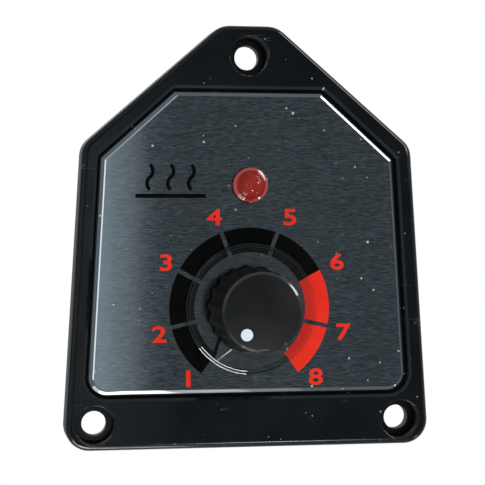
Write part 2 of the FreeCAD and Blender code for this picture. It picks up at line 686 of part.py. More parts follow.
def lamp_led():
    body = new_body("lamp_led", up="dial_height + lamp_height")
    edge = "lamp_diameter / 2"
    dome = f"({PLATE_FACE} + lamp_proud)"
    profile = [
        ("0", LAMP_BACK),
        ("0", f"{dome} + {edge}"),
        (edge, dome),
        (edge, SEAT),
        (f"{edge} + lamp_flange_width", SEAT),
        (f"{edge} + lamp_flange_width", LAMP_BACK),
    ]
    lathe(body, profile, arcs={1: ("0", f"-{dome}", edge)})
    sketch = new_sketch(body, LAMP_BACK)
    cut = f"({edge} + lamp_flange_width)"
    draw_box(sketch, f"{cut} - lamp_flat_depth + {cut}", "0", cut, cut)
    pocket(body, sketch, "lamp_flange_thickness", forward=True)
    return body


def lamp_leads():
    body = new_body("lamp_leads", up="dial_height + lamp_height")
    sketch = new_sketch(body, LAMP_BACK)
    for side in (-1, 1):
        draw_box(sketch, f"{side} * lamp_lead_pitch / 2", "0", WIRE_HALF, WIRE_HALF)
    pad(body, sketch, f"{LAMP_BACK} - {LEAD_REAR}", rearward=True)
    return body


def lamp_spacer():
    body = new_body("lamp_spacer", up="dial_height + lamp_height")
    sketch = new_sketch(body, LAMP_BACK)
    draw_circle(sketch, "0", "0", "lamp_spacer_diameter / 2")
    for side in (-1, 1):
        draw_box(sketch, f"{side} * lamp_lead_pitch / 2", "0", HOLE_HALF, HOLE_HALF)
    pad(body, sketch, f"{LAMP_BACK} - {BOARD_FRONT}", rearward=True)
    return body


# The potentiometer, its fixed pieces

def pot_bushing():
    body = new_body("pot_bushing")
    bore = f"{SHAFT_RADIUS} + shaft_clearance"
    thread = "bushing_diameter / 2"
    profile = [
        (bore, FLANGE_BACK),
        (CAN_INNER, FLANGE_BACK),
        (CAN_INNER, SEAT),
        (thread, SEAT),
        (thread, f"{BUSHING_END} - bushing_chamfer"),
        (f"{thread} - bushing_chamfer", BUSHING_END),
        (bore, BUSHING_END),
    ]
    lathe(body, profile)
    sketch = new_sketch(body, FLANGE_BACK)
    draw_box(sketch, "-tab_place", "0", "tab_thickness / 2", "tab_width / 2")
    pad(body, sketch, "flange_thickness + tab_length")
    return body


def pot_washer():
    body = new_body("pot_washer")
    sketch = new_sketch(body, PLATE_FACE)
    draw_circle(sketch, "0", "0", "washer_diameter / 2")
    draw_circle(sketch, "0", "0", "bushing_diameter / 2 + bushing_clearance")
    pad(body, sketch, "washer_thickness")
    sketch = new_sketch(body, NUT_BACK)
    middle = "(washer_diameter / 2)"
    draw_box(sketch, "0", middle, "washer_tooth_width / 2", "washer_tooth_depth")
    polar(body, pocket(body, sketch), "washer_teeth")
    return body


def pot_nut():
    body = new_body("pot_nut")
    tip = "(nut_across_flats / 2 / cos(30))"
    corners = [(f"{tip} * cos({60 * side})", f"{tip} * sin({60 * side})") for side in range(6)]
    sketch = new_sketch(body, NUT_BACK)
    draw_outline(sketch, corners)
    draw_circle(sketch, "0", "0", "bushing_diameter / 2")
    pad(body, sketch, "nut_thickness")
    face = "nut_across_flats / 2"
    outside = f"({tip} + {face})"
    fall = f"({outside} - {face}) * tan(nut_chamfer)"
    corner = [(face, NUT_FRONT), (outside, f"{NUT_FRONT} - {fall}"), (outside, NUT_FRONT)]
    lathe(body, corner, kind="Groove")
    return body


def pot_cover():
    body = new_body("pot_cover")
    outside = "can_diameter / 2"
    profile = [
        ("0", CAN_BACK),
        (outside, CAN_BACK),
        (outside, SEAT),
        (CAN_INNER, SEAT),
        (CAN_INNER, CAN_FLOOR),
        ("0", CAN_FLOOR),
    ]
    lathe(body, profile)
    # window for the wafer's ear
    sketch = new_sketch(body, plane="XY_Plane")
    middle = f"-({WAFER_FRONT} + {WAFER_BACK}) / 2"
    draw_box(
        sketch,
        "0",
        middle,
        "(ear_half + wafer_clearance)",
        "(wafer_thickness / 2 + wafer_clearance)",
    )
    pocket(body, sketch)
    # block that stops the rotor's nose at either end of the turn
    sketch = new_sketch(body, ROTOR_BACK)
    reach = f"({CAN_INNER} + can_wall / 2)"
    side = f"sqrt({reach} * {reach} - stop_width * stop_width / 4)"
    corners = [
        ("-stop_width / 2", f"-{side}"),
        ("stop_width / 2", f"-{side}"),
        ("stop_width / 2", f"-({CAN_INNER} - stop_rise)"),
        ("-stop_width / 2", f"-({CAN_INNER} - stop_rise)"),
    ]
    draw_outline(sketch, corners, arcs={0: ("0", "0", reach)})
    pad(body, sketch, "rotor_thickness")
    return body


def pot_wafer():
    body = new_body("pot_wafer")
    disc = f"({CAN_INNER} - wafer_clearance)"
    sketch = new_sketch(body, WAFER_BACK)
    draw_circle(sketch, "0", "0", disc)
    pad(body, sketch, "wafer_thickness")
    sketch = new_sketch(body, WAFER_BACK)
    draw_box(sketch, "0", "-ear_drop / 2", "ear_half", "ear_drop / 2")
    pad(body, sketch, "wafer_thickness")
    sketch = new_sketch(body, WAFER_FRONT)
    draw_circle(sketch, "0", "0", f"{SHAFT_RADIUS} + wafer_bore_gap")
    pocket(body, sketch)
    return body


# The lugs end near the ear's edge, and the pins leave from there
LUG_LOW = "(ear_drop - lug_margin)"
PIN_DROP = f"({LUG_LOW} - lug_thickness / 2)"


def pot_terminals():
    body = new_body("pot_terminals")
    lugs = new_sketch(body, WAFER_BACK)
    pins = new_sketch(body, WAFER_BACK)
    for place in (-1, 0, 1):
        across = f"{place} * pin_pitch"
        draw_box(lugs, across, f"-({LUG_LOW} - lug_run / 2)", "lug_width / 2", "lug_run / 2")
        draw_box(pins, across, f"-{PIN_DROP}", "pin_width / 2", "lug_thickness / 2")
    pad(body, lugs, "lug_thickness", rearward=True)
    pad(body, pins, f"{WAFER_BACK} - {LEAD_REAR}", rearward=True)
    return body


# The potentiometer, its turning pieces

def pot_shaft():
    body = new_body("pot_shaft", turn="scale_start")
    groove = f"({SHAFT_RADIUS} - clip_groove)"
    key = "key_diameter / 2"
    profile = [
        ("0", ROTOR_BACK),
        (key, ROTOR_BACK),
        (key, ROTOR_FRONT),
        (SHAFT_RADIUS, ROTOR_FRONT),
        (SHAFT_RADIUS, COLLAR_BACK),
        (f"{SHAFT_RADIUS} + collar_width", COLLAR_BACK),
        (f"{SHAFT_RADIUS} + collar_width", COLLAR_FRONT),
        (SHAFT_RADIUS, COLLAR_FRONT),
        (SHAFT_RADIUS, CLIP_BACK),
        (groove, CLIP_BACK),
        (groove, CLIP_FRONT),
        (SHAFT_RADIUS, CLIP_FRONT),
        (SHAFT_RADIUS, SHAFT_END),
        ("0", SHAFT_END),
    ]
    lathe(body, profile)
    # flats for the grub screw and for the rotor
    for level, flat, depth in (
        (SHAFT_END, SHAFT_FLAT, f"{SHAFT_END} - {INSERT_BACK}"),
        (ROTOR_FRONT, KEY_FLAT, "rotor_thickness"),
    ):
        sketch = new_sketch(body, level)
        draw_box(sketch, "0", f"{flat} + {SHAFT_RADIUS}", "shaft_diameter", SHAFT_RADIUS)
        pocket(body, sketch, depth)
    return body


def shaft_clip():
    body = new_body("shaft_clip", turn="scale_start")
    groove = f"({SHAFT_RADIUS} - clip_groove)"
    sketch = new_sketch(body, CLIP_BACK)
    draw_circle(sketch, "0", "0", f"{groove} + clip_width")
    draw_circle(sketch, "0", "0", groove)
    pad(body, sketch, "clip_thickness")
    sketch = new_sketch(body, CLIP_FRONT)
    draw_box(sketch, "0", "shaft_diameter / 2", "clip_opening / 2", "shaft_diameter / 2")
    pocket(body, sketch)
    return body


def pot_rotor():
    body = new_body("pot_rotor", turn="scale_start")
    sketch = new_sketch(body, ROTOR_BACK)
    draw_circle(sketch, "0", "0", "rotor_diameter / 2")
    pad(body, sketch, "rotor_thickness")
    # nose that meets the stop
    reach = f"({CAN_INNER} - lug_stop_gap)"
    side = f"sqrt({reach} * {reach} - lug_stop_width * lug_stop_width / 4)"
    corners = [
        ("-lug_stop_width / 2", f"-{side}"),
        ("lug_stop_width / 2", f"-{side}"),
        ("lug_stop_width / 2", "0"),
        ("-lug_stop_width / 2", "0"),
    ]
    sketch = new_sketch(body, ROTOR_BACK)
    draw_outline(sketch, corners, arcs={0: ("0", "0", reach)})
    pad(body, sketch, "rotor_thickness")
    # keyed bore
    key = "(key_diameter / 2)"
    chord = f"sqrt({key} * {key} - {KEY_FLAT} * {KEY_FLAT})"
    sketch = new_sketch(body, ROTOR_FRONT)
    draw_outline(sketch, [(f"-{chord}", KEY_FLAT), (chord, KEY_FLAT)], arcs={0: ("0", "0", key)})
    pocket(body, sketch)
    return body


def pot_wiper():
    body = new_body("pot_wiper", turn="scale_start")
    sketch = new_sketch(body, ROTOR_FRONT)
    draw_circle(sketch, "0", "0", "wiper_outer")
    draw_circle(sketch, "0", "0", "wiper_inner")
    pad(body, sketch, "wiper_thickness")
    # sprung finger, rising from the ring towards the track
    sketch = new_sketch(body, "-wiper_finger_width / 2", plane="YZ_Plane")
    high = f"({WAFER_BACK} - wiper_gap)"
    corners = [
        (f"-{ROTOR_FRONT}", "-wiper_inner"),
        (f"-({high} - wiper_thickness)", "-wiper_outer"),
        (f"-{high}", "-wiper_outer"),
        (f"-({ROTOR_FRONT} + wiper_thickness)", "-wiper_inner"),
    ]
    draw_outline(sketch, corners)
    pad(body, sketch, "wiper_finger_width")
    return body


# The knob

def knob_body():
    body = new_body("knob_body", turn="scale_start")
    cavity = "knob_cavity_diameter / 2"
    base = "knob_base_diameter / 2"
    top = "knob_top_diameter / 2"
    profile = [
        (cavity, KNOB_BASE),
        (SPIGOT_RADIUS, KNOB_BASE),
        (SPIGOT_RADIUS, SKIRT_FRONT),
        (base, SKIRT_FRONT),
        (top, f"{KNOB_TOP} - knob_chamfer"),
        (f"{top} - knob_chamfer", KNOB_TOP),
        ("0", KNOB_TOP),
        ("0", INSERT_FRONT),
        (INSERT_RADIUS, INSERT_FRONT),
        (INSERT_RADIUS, INSERT_BACK),
        (cavity, INSERT_BACK),
    ]
    lathe(body, profile)
    # flutes that lean with the tapered body, deep at its foot and nearly run out at its top
    foot, crown = f"({base} - flute_depth)", f"({top} - flute_runout)"
    lean = f"atan(({foot} - {crown}) / ({KNOB_TOP} - {SKIRT_FRONT}))"
    hollow = f"({foot} + ({SKIRT_FRONT} - {KNOB_BASE}) * tan({lean})) * cos({lean})"
    sketch = new_sketch(body, KNOB_BASE, lean=lean)
    draw_circle(sketch, "0", f"-({hollow} + flute_radius)", "flute_radius")
    polar(body, pocket(body, sketch, "knob_height", forward=True), "flute_count")
    # pointer that lies on the clear skirt
    sketch = new_sketch(body, SKIRT_FRONT)
    root = f"-({base} - pointer_root)"
    tip = "-(skirt_diameter / 2 - skirt_bevel)"
    corners = [
        ("-pointer_tip_width / 2", tip),
        ("pointer_tip_width / 2", tip),
        ("pointer_base_width / 2", root),
        ("-pointer_base_width / 2", root),
    ]
    draw_outline(sketch, corners)
    pad(body, sketch, "pointer_thickness")
    # seat of the white dot
    sketch = new_sketch(body, KNOB_TOP)
    draw_circle(sketch, "0", "-dot_place", "dot_diameter / 2")
    pocket(body, sketch, "dot_depth")
    # way in for the grub screw, opposite the pointer
    sketch = new_sketch(body, plane="XY_Plane")
    draw_circle(sketch, "0", f"-{GRUB_LEVEL}", "grub_diameter / 2 + grub_access_gap")
    pocket(body, sketch, forward=True)
    return body


def knob_skirt():
    body = new_body("knob_skirt", turn="scale_start")
    rim = "skirt_diameter / 2"
    profile = [
        (SPIGOT_RADIUS, SKIRT_BACK),
        (rim, SKIRT_BACK),
        (rim, f"{SKIRT_FRONT} - skirt_bevel"),
        (f"{rim} - skirt_bevel", SKIRT_FRONT),
        (SPIGOT_RADIUS, SKIRT_FRONT),
    ]
    lathe(body, profile)
    return body


def knob_dot():
    body = new_body("knob_dot", turn="scale_start")
    sketch = new_sketch(body, f"{KNOB_TOP} - dot_depth")
    draw_circle(sketch, "0", "-dot_place", "dot_diameter / 2")
    pad(body, sketch, "dot_depth + dot_proud")
    return body


def knob_insert():
    body = new_body("knob_insert", turn="scale_start")
    bore = f"{SHAFT_RADIUS} + insert_clearance"
    profile = [
        (bore, INSERT_BACK),
        (INSERT_RADIUS, INSERT_BACK),
        (INSERT_RADIUS, INSERT_FRONT),
        (bore, INSERT_FRONT),
    ]
    lathe(body, profile)
    sketch = new_sketch(body, plane="XY_Plane")
    draw_circle(sketch, "0", f"-{GRUB_LEVEL}", "grub_diameter / 2")
    pocket(body, sketch, forward=True)
    return body


def knob_set_screw():
    body = new_body("knob_set_screw", turn="scale_start")
    sketch = new_sketch(body, SHAFT_FLAT, plane="XY_Plane")
    draw_circle(sketch, "0", f"-{GRUB_LEVEL}", "grub_diameter / 2")
    pad(body, sketch, "grub_length")
    tip = "(grub_socket / 2 / cos(30))"
    corners = [
        (f"{tip} * cos({60 * side})", f"{tip} * sin({60 * side}) - {GRUB_LEVEL}") for side in range(6)
    ]
    sketch = new_sketch(body, f"{SHAFT_FLAT} + grub_length", plane="XY_Plane")
    draw_outline(sketch, corners)
    pocket(body, sketch, "grub_socket_depth")
    return body


# Where wires pass through the circuit board, beside the knob axis, with the half sizes of each hole

def axial_places(kind):
    for copy in range(count(f"{kind}_count")):
        for side in (-1, 1):
            yield f"{kind}_across + {side} * {kind}_span / 2", f"{kind}_up - {copy} * {kind}_pitch"


def leg_places():
    for copy in (-1.5, -0.5, 0.5, 1.5):
        for side in (-1, 1):
            yield f"chip_across + {copy} * leg_pitch", f"chip_up + {side} * leg_row / 2"


def relay_places():
    yield "relay_across - relay_pin_across", "relay_up"
    for across in (-1, 1):
        for up in (-1, 1):
            reach = "relay_coil_across" if across < 0 else "relay_pin_across"
            yield f"relay_across + {across} * {reach}", f"relay_up + {up} * relay_pin_up"


def standing_places():
    for side in (-1, 1):
        yield f"{side} * lamp_lead_pitch / 2", "lamp_height"
        yield f"timing_across + {side} * can_lead_pitch / 2", "timing_up"
        yield f"supply_across + {side} * can_lead_pitch / 2", "supply_up"
        yield "film_across", f"film_up + {side} * film_lead_pitch / 2"
    for place in (-1, 0, 1):
        yield f"transistor_across + {place} * transistor_pitch", "transistor_up"


def wire_holes():
    """Groups of holes in the board, each hole with its place and half sizes."""
    lying = [axial_places("resistor"), axial_places("diode")]
    for places in (*lying, leg_places(), relay_places(), standing_places()):
        yield [(x, z, HOLE_HALF, HOLE_HALF) for x, z in places]
    lug = ("(pin_width / 2 + lead_clearance)", "(lug_thickness / 2 + lead_clearance)")
    yield [(f"{place} * pin_pitch", f"-{PIN_DROP}", *lug) for place in (-1, 0, 1)]
    foot = ("(blade_foot / 2 + lead_clearance)", "(blade_thickness / 2 + lead_clearance)")
    copies = range(count("blade_count"))
    yield [("blade_across", f"blade_up + {copy} * blade_pitch", *foot) for copy in copies]


def circuit_board():
    body = new_body("circuit_board")
    corners = [
        ("-board_half", "-board_drop"),
        ("board_half", "-board_drop"),
        ("board_half", "board_rise"),
        ("-board_half", "board_rise"),
    ]
    sketch = new_sketch(body, BOARD_REAR)
    draw_outline(sketch, corners)
    pad(body, sketch, "board_thickness")
    round_edges(body, corner_edges(body.Tip.Shape, corners, BOARD_REAR), "board_corner")
    sketch = new_sketch(body, BOARD_FRONT)
    for x, z in BOARD_POSTS:
        draw_circle(sketch, x, z, "board_screw_diameter / 2 + board_screw_room")
    pocket(body, sketch)
    for group in wire_holes():
        sketch = new_sketch(body, BOARD_FRONT)
        for x, z, half_width, half_height in group:
            draw_box(sketch, x, z, half_width, half_height)
        pocket(body, sketch)
    return body


def board_screws():
    body = new_body("board_screws")
    heads = new_sketch(body, BOARD_REAR)
    shanks = new_sketch(body, BOARD_REAR)
    for x, z in BOARD_POSTS:
        draw_circle(heads, x, z, "board_screw_head / 2")
        draw_circle(shanks, x, z, "board_screw_diameter / 2")
    pad(body, heads, "board_screw_rise", rearward=True)
    pad(body, shanks, "board_screw_length")
    return body


# Parts on the circuit board

def block(label, across, up, width, height, start, length):
    """A body that stands off the board with a rectangular section."""
    body = new_body(label, across, f"dial_height + {up}")
    sketch = new_sketch(body, start)
    draw_box(sketch, "0", "0", f"({width}) / 2", f"({height}) / 2")
    pad(body, sketch, length, rearward=True)
    return body


def wires_from(body, places, level, across, up):
    """Wires from a level through the board, at places beside the knob axis."""
    sketch = new_sketch(body, level)
    for x, z in places:
        draw_box(sketch, f"{x} - ({across})", f"{z} - ({up})", WIRE_HALF, WIRE_HALF)
    pad(body, sketch, f"{LEAD_FRONT} - ({level})")


def relay_base():
    inset = "2 * relay_base_inset"
    body = block(
        "relay_base",
        "relay_across",
        "relay_up",
        f"relay_width - {inset}",
        f"relay_height - {inset}",
        BOARD_REAR,
        "relay_base_depth",
    )
    wires_from(body, relay_places(), BOARD_REAR, "relay_across", "relay_up")
    return body


def relay_case():
    start = f"({BOARD_REAR} - relay_base_depth)"
    body = block(
        "relay_case",
        "relay_across",
        "relay_up",
        "relay_width",
        "relay_height",
        start,
        "relay_depth - relay_base_depth",
    )
    front = -amount(start)
    edges = [edge for edge in body.Tip.Shape.Edges if edge.BoundBox.YMax > front + 1e-4]
    bevel_edges(body, edges, "relay_edge")
    return body


def film_capacitor():
    body = block(
        "film_capacitor",
        "film_across",
        "film_up",
        "film_width",
        "film_height",
        BOARD_REAR,
        "film_depth",
    )
    front = -amount(BOARD_REAR)
    edges = [edge for edge in body.Tip.Shape.Edges if edge.BoundBox.YMax > front + 1e-4]
    bevel_edges(body, edges, "film_edge")
    places = [("film_across", f"film_up + {side} * film_lead_pitch / 2") for side in (-1, 1)]
    wires_from(body, places, BOARD_REAR, "film_across", "film_up")
    return body


def round_capacitor(kind):
    """A round can with a scored cross on its end and two wires."""
    body = new_body(f"{kind}_capacitor", f"{kind}_across", f"dial_height + {kind}_up")
    outside = f"{kind}_diameter / 2"
    far = f"{BOARD_REAR} - {kind}_length"
    profile = [
        ("0", BOARD_REAR),
        ("0", far),
        (f"{outside} - can_edge", far),
        (outside, f"{far} + can_edge"),
        (outside, BOARD_REAR),
    ]
    lathe(body, profile)
    score, reach = "(can_vent_width / 2)", f"({outside} - can_vent_inset)"
    for half_width, half_height in ((score, reach), (reach, score)):
        sketch = new_sketch(body, far)
        draw_box(sketch, "0", "0", half_width, half_height)
        pocket(body, sketch, "can_vent_depth", forward=True)
    places = [(f"{kind}_across + {side} * can_lead_pitch / 2", f"{kind}_up") for side in (-1, 1)]
    wires_from(body, places, BOARD_REAR, f"{kind}_across", f"{kind}_up")
    return body


def timing_capacitor():
    return round_capacitor("timing")


def supply_capacitor():
    return round_capacitor("supply")


# The chip's legs leave its sides halfway up
LEG_LEVEL = f"({BOARD_REAR} - chip_lift - chip_thickness / 2)"


def timer_chip():
    body = new_body("timer_chip", "chip_across", "dial_height + chip_up")
    corners = [
        ("-chip_width / 2", "-chip_height / 2"),
        ("chip_width / 2", "-chip_height / 2"),
        ("chip_width / 2", "chip_height / 2"),
        ("-chip_width / 2", "chip_height / 2"),
    ]
    for rearward in (True, False):
        sketch = new_sketch(body, LEG_LEVEL)
        draw_outline(sketch, corners)
        pad(body, sketch, "chip_thickness / 2", rearward=rearward, lean="-chip_taper")
    sketch = new_sketch(body, f"{LEG_LEVEL} - chip_thickness / 2")
    draw_circle(sketch, "-chip_width / 2", "0", "chip_notch")
    pocket(body, sketch, "chip_thickness / 4", forward=True)
    return body


def chip_legs():
    """Sheet legs, out from the chip's waist and down through the board."""
    body = new_body("chip_legs", "chip_across", "dial_height + chip_up")
    outer = "(leg_row / 2 + leg_thickness / 2)"
    inner = "(leg_row / 2 - leg_thickness / 2)"
    shoulders = new_sketch(body, f"{LEG_LEVEL} - leg_thickness / 2")
    uprights = new_sketch(body, f"{LEG_LEVEL} - leg_thickness / 2")
    for copy in (-1.5, -0.5, 0.5, 1.5):
        across = f"{copy} * leg_pitch"
        for side in (-1, 1):
            middle = f"{side} * ({outer} + chip_height / 2) / 2"
            draw_box(shoulders, across, middle, "leg_width / 2", f"({outer} - chip_height / 2) / 2")
            middle = f"{side} * ({outer} + {inner}) / 2"
            draw_box(uprights, across, middle, WIRE_HALF, "leg_thickness / 2")
    pad(body, shoulders, "leg_thickness")
    pad(body, uprights, f"{LEAD_FRONT} - ({LEG_LEVEL} - leg_thickness / 2)")
    return body


def axial_level(kind):
    """Level of the middle line of a row of lying parts."""
    return f"({BOARD_REAR} - axial_lift - {kind}_diameter / 2)"


def lying_row(label, kind):
    """A row of round parts that lie along X."""
    body = new_body(label, f"{kind}_across", f"dial_height + {kind}_up")
    sketch = new_sketch(body, f"-{kind}_length / 2", plane="YZ_Plane")
    draw_circle(sketch, f"-{axial_level(kind)}", "0", f"{kind}_diameter / 2")
    row(body, [pad(body, sketch, f"{kind}_length")], f"{kind}_count", f"{kind}_pitch", downward=True)
    return body


def resistors():
    return lying_row("resistors", "resistor")


def diodes():
    return lying_row("diodes", "diode")


def bent_leads(label, kind):
    """Wires that leave both ends of each lying part, bend and pass through the board."""
    body = new_body(label, f"{kind}_across", f"dial_height + {kind}_up")
    middle = f"(-{axial_level(kind)})"
    inner, outer = f"({kind}_span / 2 - lead_width / 2)", f"({kind}_span / 2 + lead_width / 2)"
    low, high = f"({middle} - lead_width / 2)", f"({middle} + lead_width / 2)"
    sketch = new_sketch(body, f"-{WIRE_HALF}", plane="XY_Plane")
    for side in (-1, 1):
        corners = [
            (f"{side} * {inner}", f"-{LEAD_FRONT}"),
            (f"{side} * {outer}", f"-{LEAD_FRONT}"),
            (f"{side} * {outer}", f"{high} - axial_bend"),
            (f"{side} * ({outer} - axial_bend)", high),
            (f"{side} * {kind}_length / 2", high),
            (f"{side} * {kind}_length / 2", low),
            (f"{side} * {inner}", low),
        ]
        draw_outline(sketch, corners)
    row(body, [pad(body, sketch, "lead_width")], f"{kind}_count", f"{kind}_pitch", downward=True)
    return body


def resistor_leads():
    return bent_leads("resistor_leads", "resistor")


def diode_leads():
    return bent_leads("diode_leads", "diode")


# The transistor stands on its legs, off the board
TRANSISTOR_FOOT = f"({BOARD_REAR} - transistor_lift)"


def transistor():
    body = new_body("transistor", "transistor_across", "dial_height + transistor_up")
    edge = "(transistor_diameter / 2)"
    chord = f"sqrt({edge} * {edge} - transistor_flat * transistor_flat)"
    sketch = new_sketch(body, TRANSISTOR_FOOT)
    corners = [(f"-{chord}", "transistor_flat"), (chord, "transistor_flat")]
    draw_outline(sketch, corners, arcs={0: ("0", "0", edge)})
    pad(body, sketch, "transistor_length", rearward=True)
    return body


def transistor_legs():
    body = new_body("transistor_legs", "transistor_across", "dial_height + transistor_up")
    sketch = new_sketch(body, TRANSISTOR_FOOT)
    for place in (-1, 0, 1):
        draw_box(sketch, f"{place} * transistor_pitch", "0", WIRE_HALF, WIRE_HALF)
    pad(body, sketch, f"{LEAD_FRONT} - {TRANSISTOR_FOOT}")
    return body


def blade_terminals():
    body = new_body("blade_terminals", "blade_across", "dial_height + blade_up")
    side, foot = "blade_width / 2", "blade_foot / 2"
    near = f"(-{BOARD_REAR})"
    far = f"({near} + blade_length)"
    corners = [
        (f"-{foot}", f"-{LEAD_FRONT}"),
        (foot, f"-{LEAD_FRONT}"),
        (foot, near),
        (side, near),
        (side, f"{far} - blade_tip"),
        (f"{side} - blade_tip", far),
        (f"-({side} - blade_tip)", far),
        (f"-({side})", f"{far} - blade_tip"),
        (f"-({side})", near),
        (f"-{foot}", near),
    ]
    sketch = new_sketch(body, "-blade_thickness / 2", plane="XY_Plane")
    draw_outline(sketch, corners)
    draw_box(sketch, "0", f"{far} - blade_hole_place", "blade_hole / 2", "blade_hole / 2")
    row(body, [pad(body, sketch, "blade_thickness")], "blade_count", "blade_pitch")
    return body


PIECES = (
    front_panel,
    plate_adhesive,
    dial_plate,
    lamp_led,
    lamp_leads,
    lamp_spacer,
    pot_bushing,
    pot_washer,
    pot_nut,
    pot_cover,
    pot_wafer,
    pot_terminals,
    pot_shaft,
    shaft_clip,
    pot_rotor,
    pot_wiper,
    knob_body,
    knob_skirt,
    knob_dot,
    knob_insert,
    knob_set_screw,
    circuit_board,
    board_screws,
    relay_base,
    relay_case,
    film_capacitor,
    timing_capacitor,
    supply_capacitor,
    timer_chip,
    chip_legs,
    resistors,
    resistor_leads,
    diodes,
    diode_leads,
    transistor,
    transistor_legs,
    blade_terminals,
)

bodies = [make() for make in PIECES]
doc.recompute()

# Nothing is written unless every object is sound
for item in doc.Objects:
    if "Invalid" in item.State or "Error" in item.State:
        raise RuntimeError(f"{item.Label} is not sound: {item.State}")
for body in bodies:
    if body.Shape.isNull() or not body.Shape.isValid() or not body.Shape.Solids:
        raise RuntimeError(f"{body.Label} has no sound solid")

os.makedirs("parts", exist_ok=True)
for body in bodies:
    body.Shape.exportStep(os.path.join("parts", f"{body.Label}.step"))
    box = body.Shape.BoundBox
    print(
        f"{body.Label}: {len(body.Shape.Solids)} solid(s), {body.Shape.Volume:.1f} mm3,"
        f" {box.XLength:.2f} x {box.YLength:.2f} x {box.ZLength:.2f} mm"
    )
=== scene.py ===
# %% [markdown]
# The timer panel of a hand sealer. The solid pieces come from the frame at their real size, and this lesson
# gives them their finish and models the pieces that need more form than the frame holds. Everything is in
# metres, the rear rim of the panel lies on the XZ plane, the front faces -Y and +Z is up.

# %% Load the fixed frame
import json
import math
import bpy
from mathutils import Matrix, Quaternion, Vector


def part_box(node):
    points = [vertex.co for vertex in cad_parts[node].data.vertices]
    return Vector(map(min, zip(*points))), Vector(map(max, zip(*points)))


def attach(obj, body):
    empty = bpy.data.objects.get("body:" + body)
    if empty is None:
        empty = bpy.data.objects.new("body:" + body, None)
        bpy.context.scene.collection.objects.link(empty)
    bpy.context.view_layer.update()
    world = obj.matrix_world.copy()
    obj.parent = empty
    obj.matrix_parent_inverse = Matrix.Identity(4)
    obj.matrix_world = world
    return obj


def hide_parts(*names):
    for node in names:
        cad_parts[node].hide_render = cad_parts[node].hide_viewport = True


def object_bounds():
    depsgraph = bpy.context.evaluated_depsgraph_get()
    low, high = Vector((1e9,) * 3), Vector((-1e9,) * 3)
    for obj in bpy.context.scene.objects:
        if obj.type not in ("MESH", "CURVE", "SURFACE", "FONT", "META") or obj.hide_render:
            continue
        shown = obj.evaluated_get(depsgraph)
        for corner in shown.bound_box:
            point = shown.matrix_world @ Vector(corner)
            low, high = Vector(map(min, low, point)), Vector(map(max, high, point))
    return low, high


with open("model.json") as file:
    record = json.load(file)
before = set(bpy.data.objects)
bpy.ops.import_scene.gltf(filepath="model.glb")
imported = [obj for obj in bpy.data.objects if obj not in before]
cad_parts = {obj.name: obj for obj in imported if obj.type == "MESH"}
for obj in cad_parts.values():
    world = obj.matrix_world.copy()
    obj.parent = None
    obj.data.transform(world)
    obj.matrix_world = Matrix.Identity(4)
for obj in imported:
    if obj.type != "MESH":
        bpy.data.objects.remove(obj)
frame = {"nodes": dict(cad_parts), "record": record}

CAD_BOX = [list(corner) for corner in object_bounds()]
MM = 0.001
scene = bpy.context.scene
print("frame box in millimetres", [[round(side / MM, 2) for side in corner] for corner in CAD_BOX])

# %% [markdown]
# The dial is the heart of the panel, so its middle on the face of the plate is the point that the other
# places are measured from. It could be typed in, but reading it from the frame keeps both in step.

# %% Middle of the dial
PLATE_LOW, PLATE_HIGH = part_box("dial_plate")
KNOB_LOW, KNOB_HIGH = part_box("knob_skirt")
PLATE_FACE = PLATE_LOW.y
DIAL = Vector(((KNOB_LOW.x + KNOB_HIGH.x) / 2, PLATE_FACE, (KNOB_LOW.z + KNOB_HIGH.z) / 2))
AHEAD = Vector((0, -1, 0))
RIGHT = Vector((1, 0, 0))
UP = Vector((0, 0, 1))


def on_dial(across, up, ahead=0.0):
    """A point of the dial in millimetres: to the right, upwards and towards the viewer."""
    return DIAL + (RIGHT * across + UP * up + AHEAD * ahead) * MM


print("middle of the dial", [round(side / MM, 2) for side in DIAL])

# %% [markdown]
# The photograph was taken from close by, a little to the left of the dial and just above it. The camera
# could be aimed at the dial by a constraint, but its picture is cropped, so it gets its turn from three
# angles instead, and they stay as they are when the object changes.

# %% Camera
LENS = 111.34
SENSOR = 36.0
CAMERA_FROM_DIAL = Vector((-55.56, -328.82, 17.41)) * MM
CAMERA_TURN = math.radians(-9.32)
CAMERA_TIP = math.radians(-0.47)
CAMERA_ROLL = math.radians(-0.10)

lens = bpy.data.cameras.new("camera")
lens.lens = LENS
lens.sensor_width = SENSOR
lens.clip_start = 1 * MM
camera = bpy.data.objects.new("camera", lens)
scene.collection.objects.link(camera)
level = Matrix.Rotation(CAMERA_TURN, 4, "Z") @ Matrix.Rotation(math.pi / 2 + CAMERA_TIP, 4, "X")
in_place = Matrix.Translation(DIAL + CAMERA_FROM_DIAL) @ level
camera.matrix_world = in_place @ Matrix.Rotation(CAMERA_ROLL, 4, "Z")
scene.camera = camera
scene.view_settings.view_transform = "Standard"
print("camera looks along", [round(side, 3) for side in camera.matrix_world.to_3x3() @ Vector((0, 0, -1))])

# %% [markdown]
# The background is plain white paper. Lighting it to white would wash out the object, so the world shows
# white only to rays that come from the camera, a mirror or a clear piece, and lights the object softly.

# %% World
SOFT_LIGHT = 0.80


def seen_directly(tree):
    """A mask that is one for camera, glossy and transmission rays."""
    path = tree.nodes.new("ShaderNodeLightPath")
    mirror = tree.nodes.new("ShaderNodeMath")
    mirror.operation = "MAXIMUM"
    tree.links.new(path.outputs["Is Camera Ray"], mirror.inputs[0])
    tree.links.new(path.outputs["Is Glossy Ray"], mirror.inputs[1])
    clear = tree.nodes.new("ShaderNodeMath")
    clear.operation = "MAXIMUM"
    tree.links.new(mirror.outputs[0], clear.inputs[0])
    tree.links.new(path.outputs["Is Transmission Ray"], clear.inputs[1])
    return clear.outputs[0]


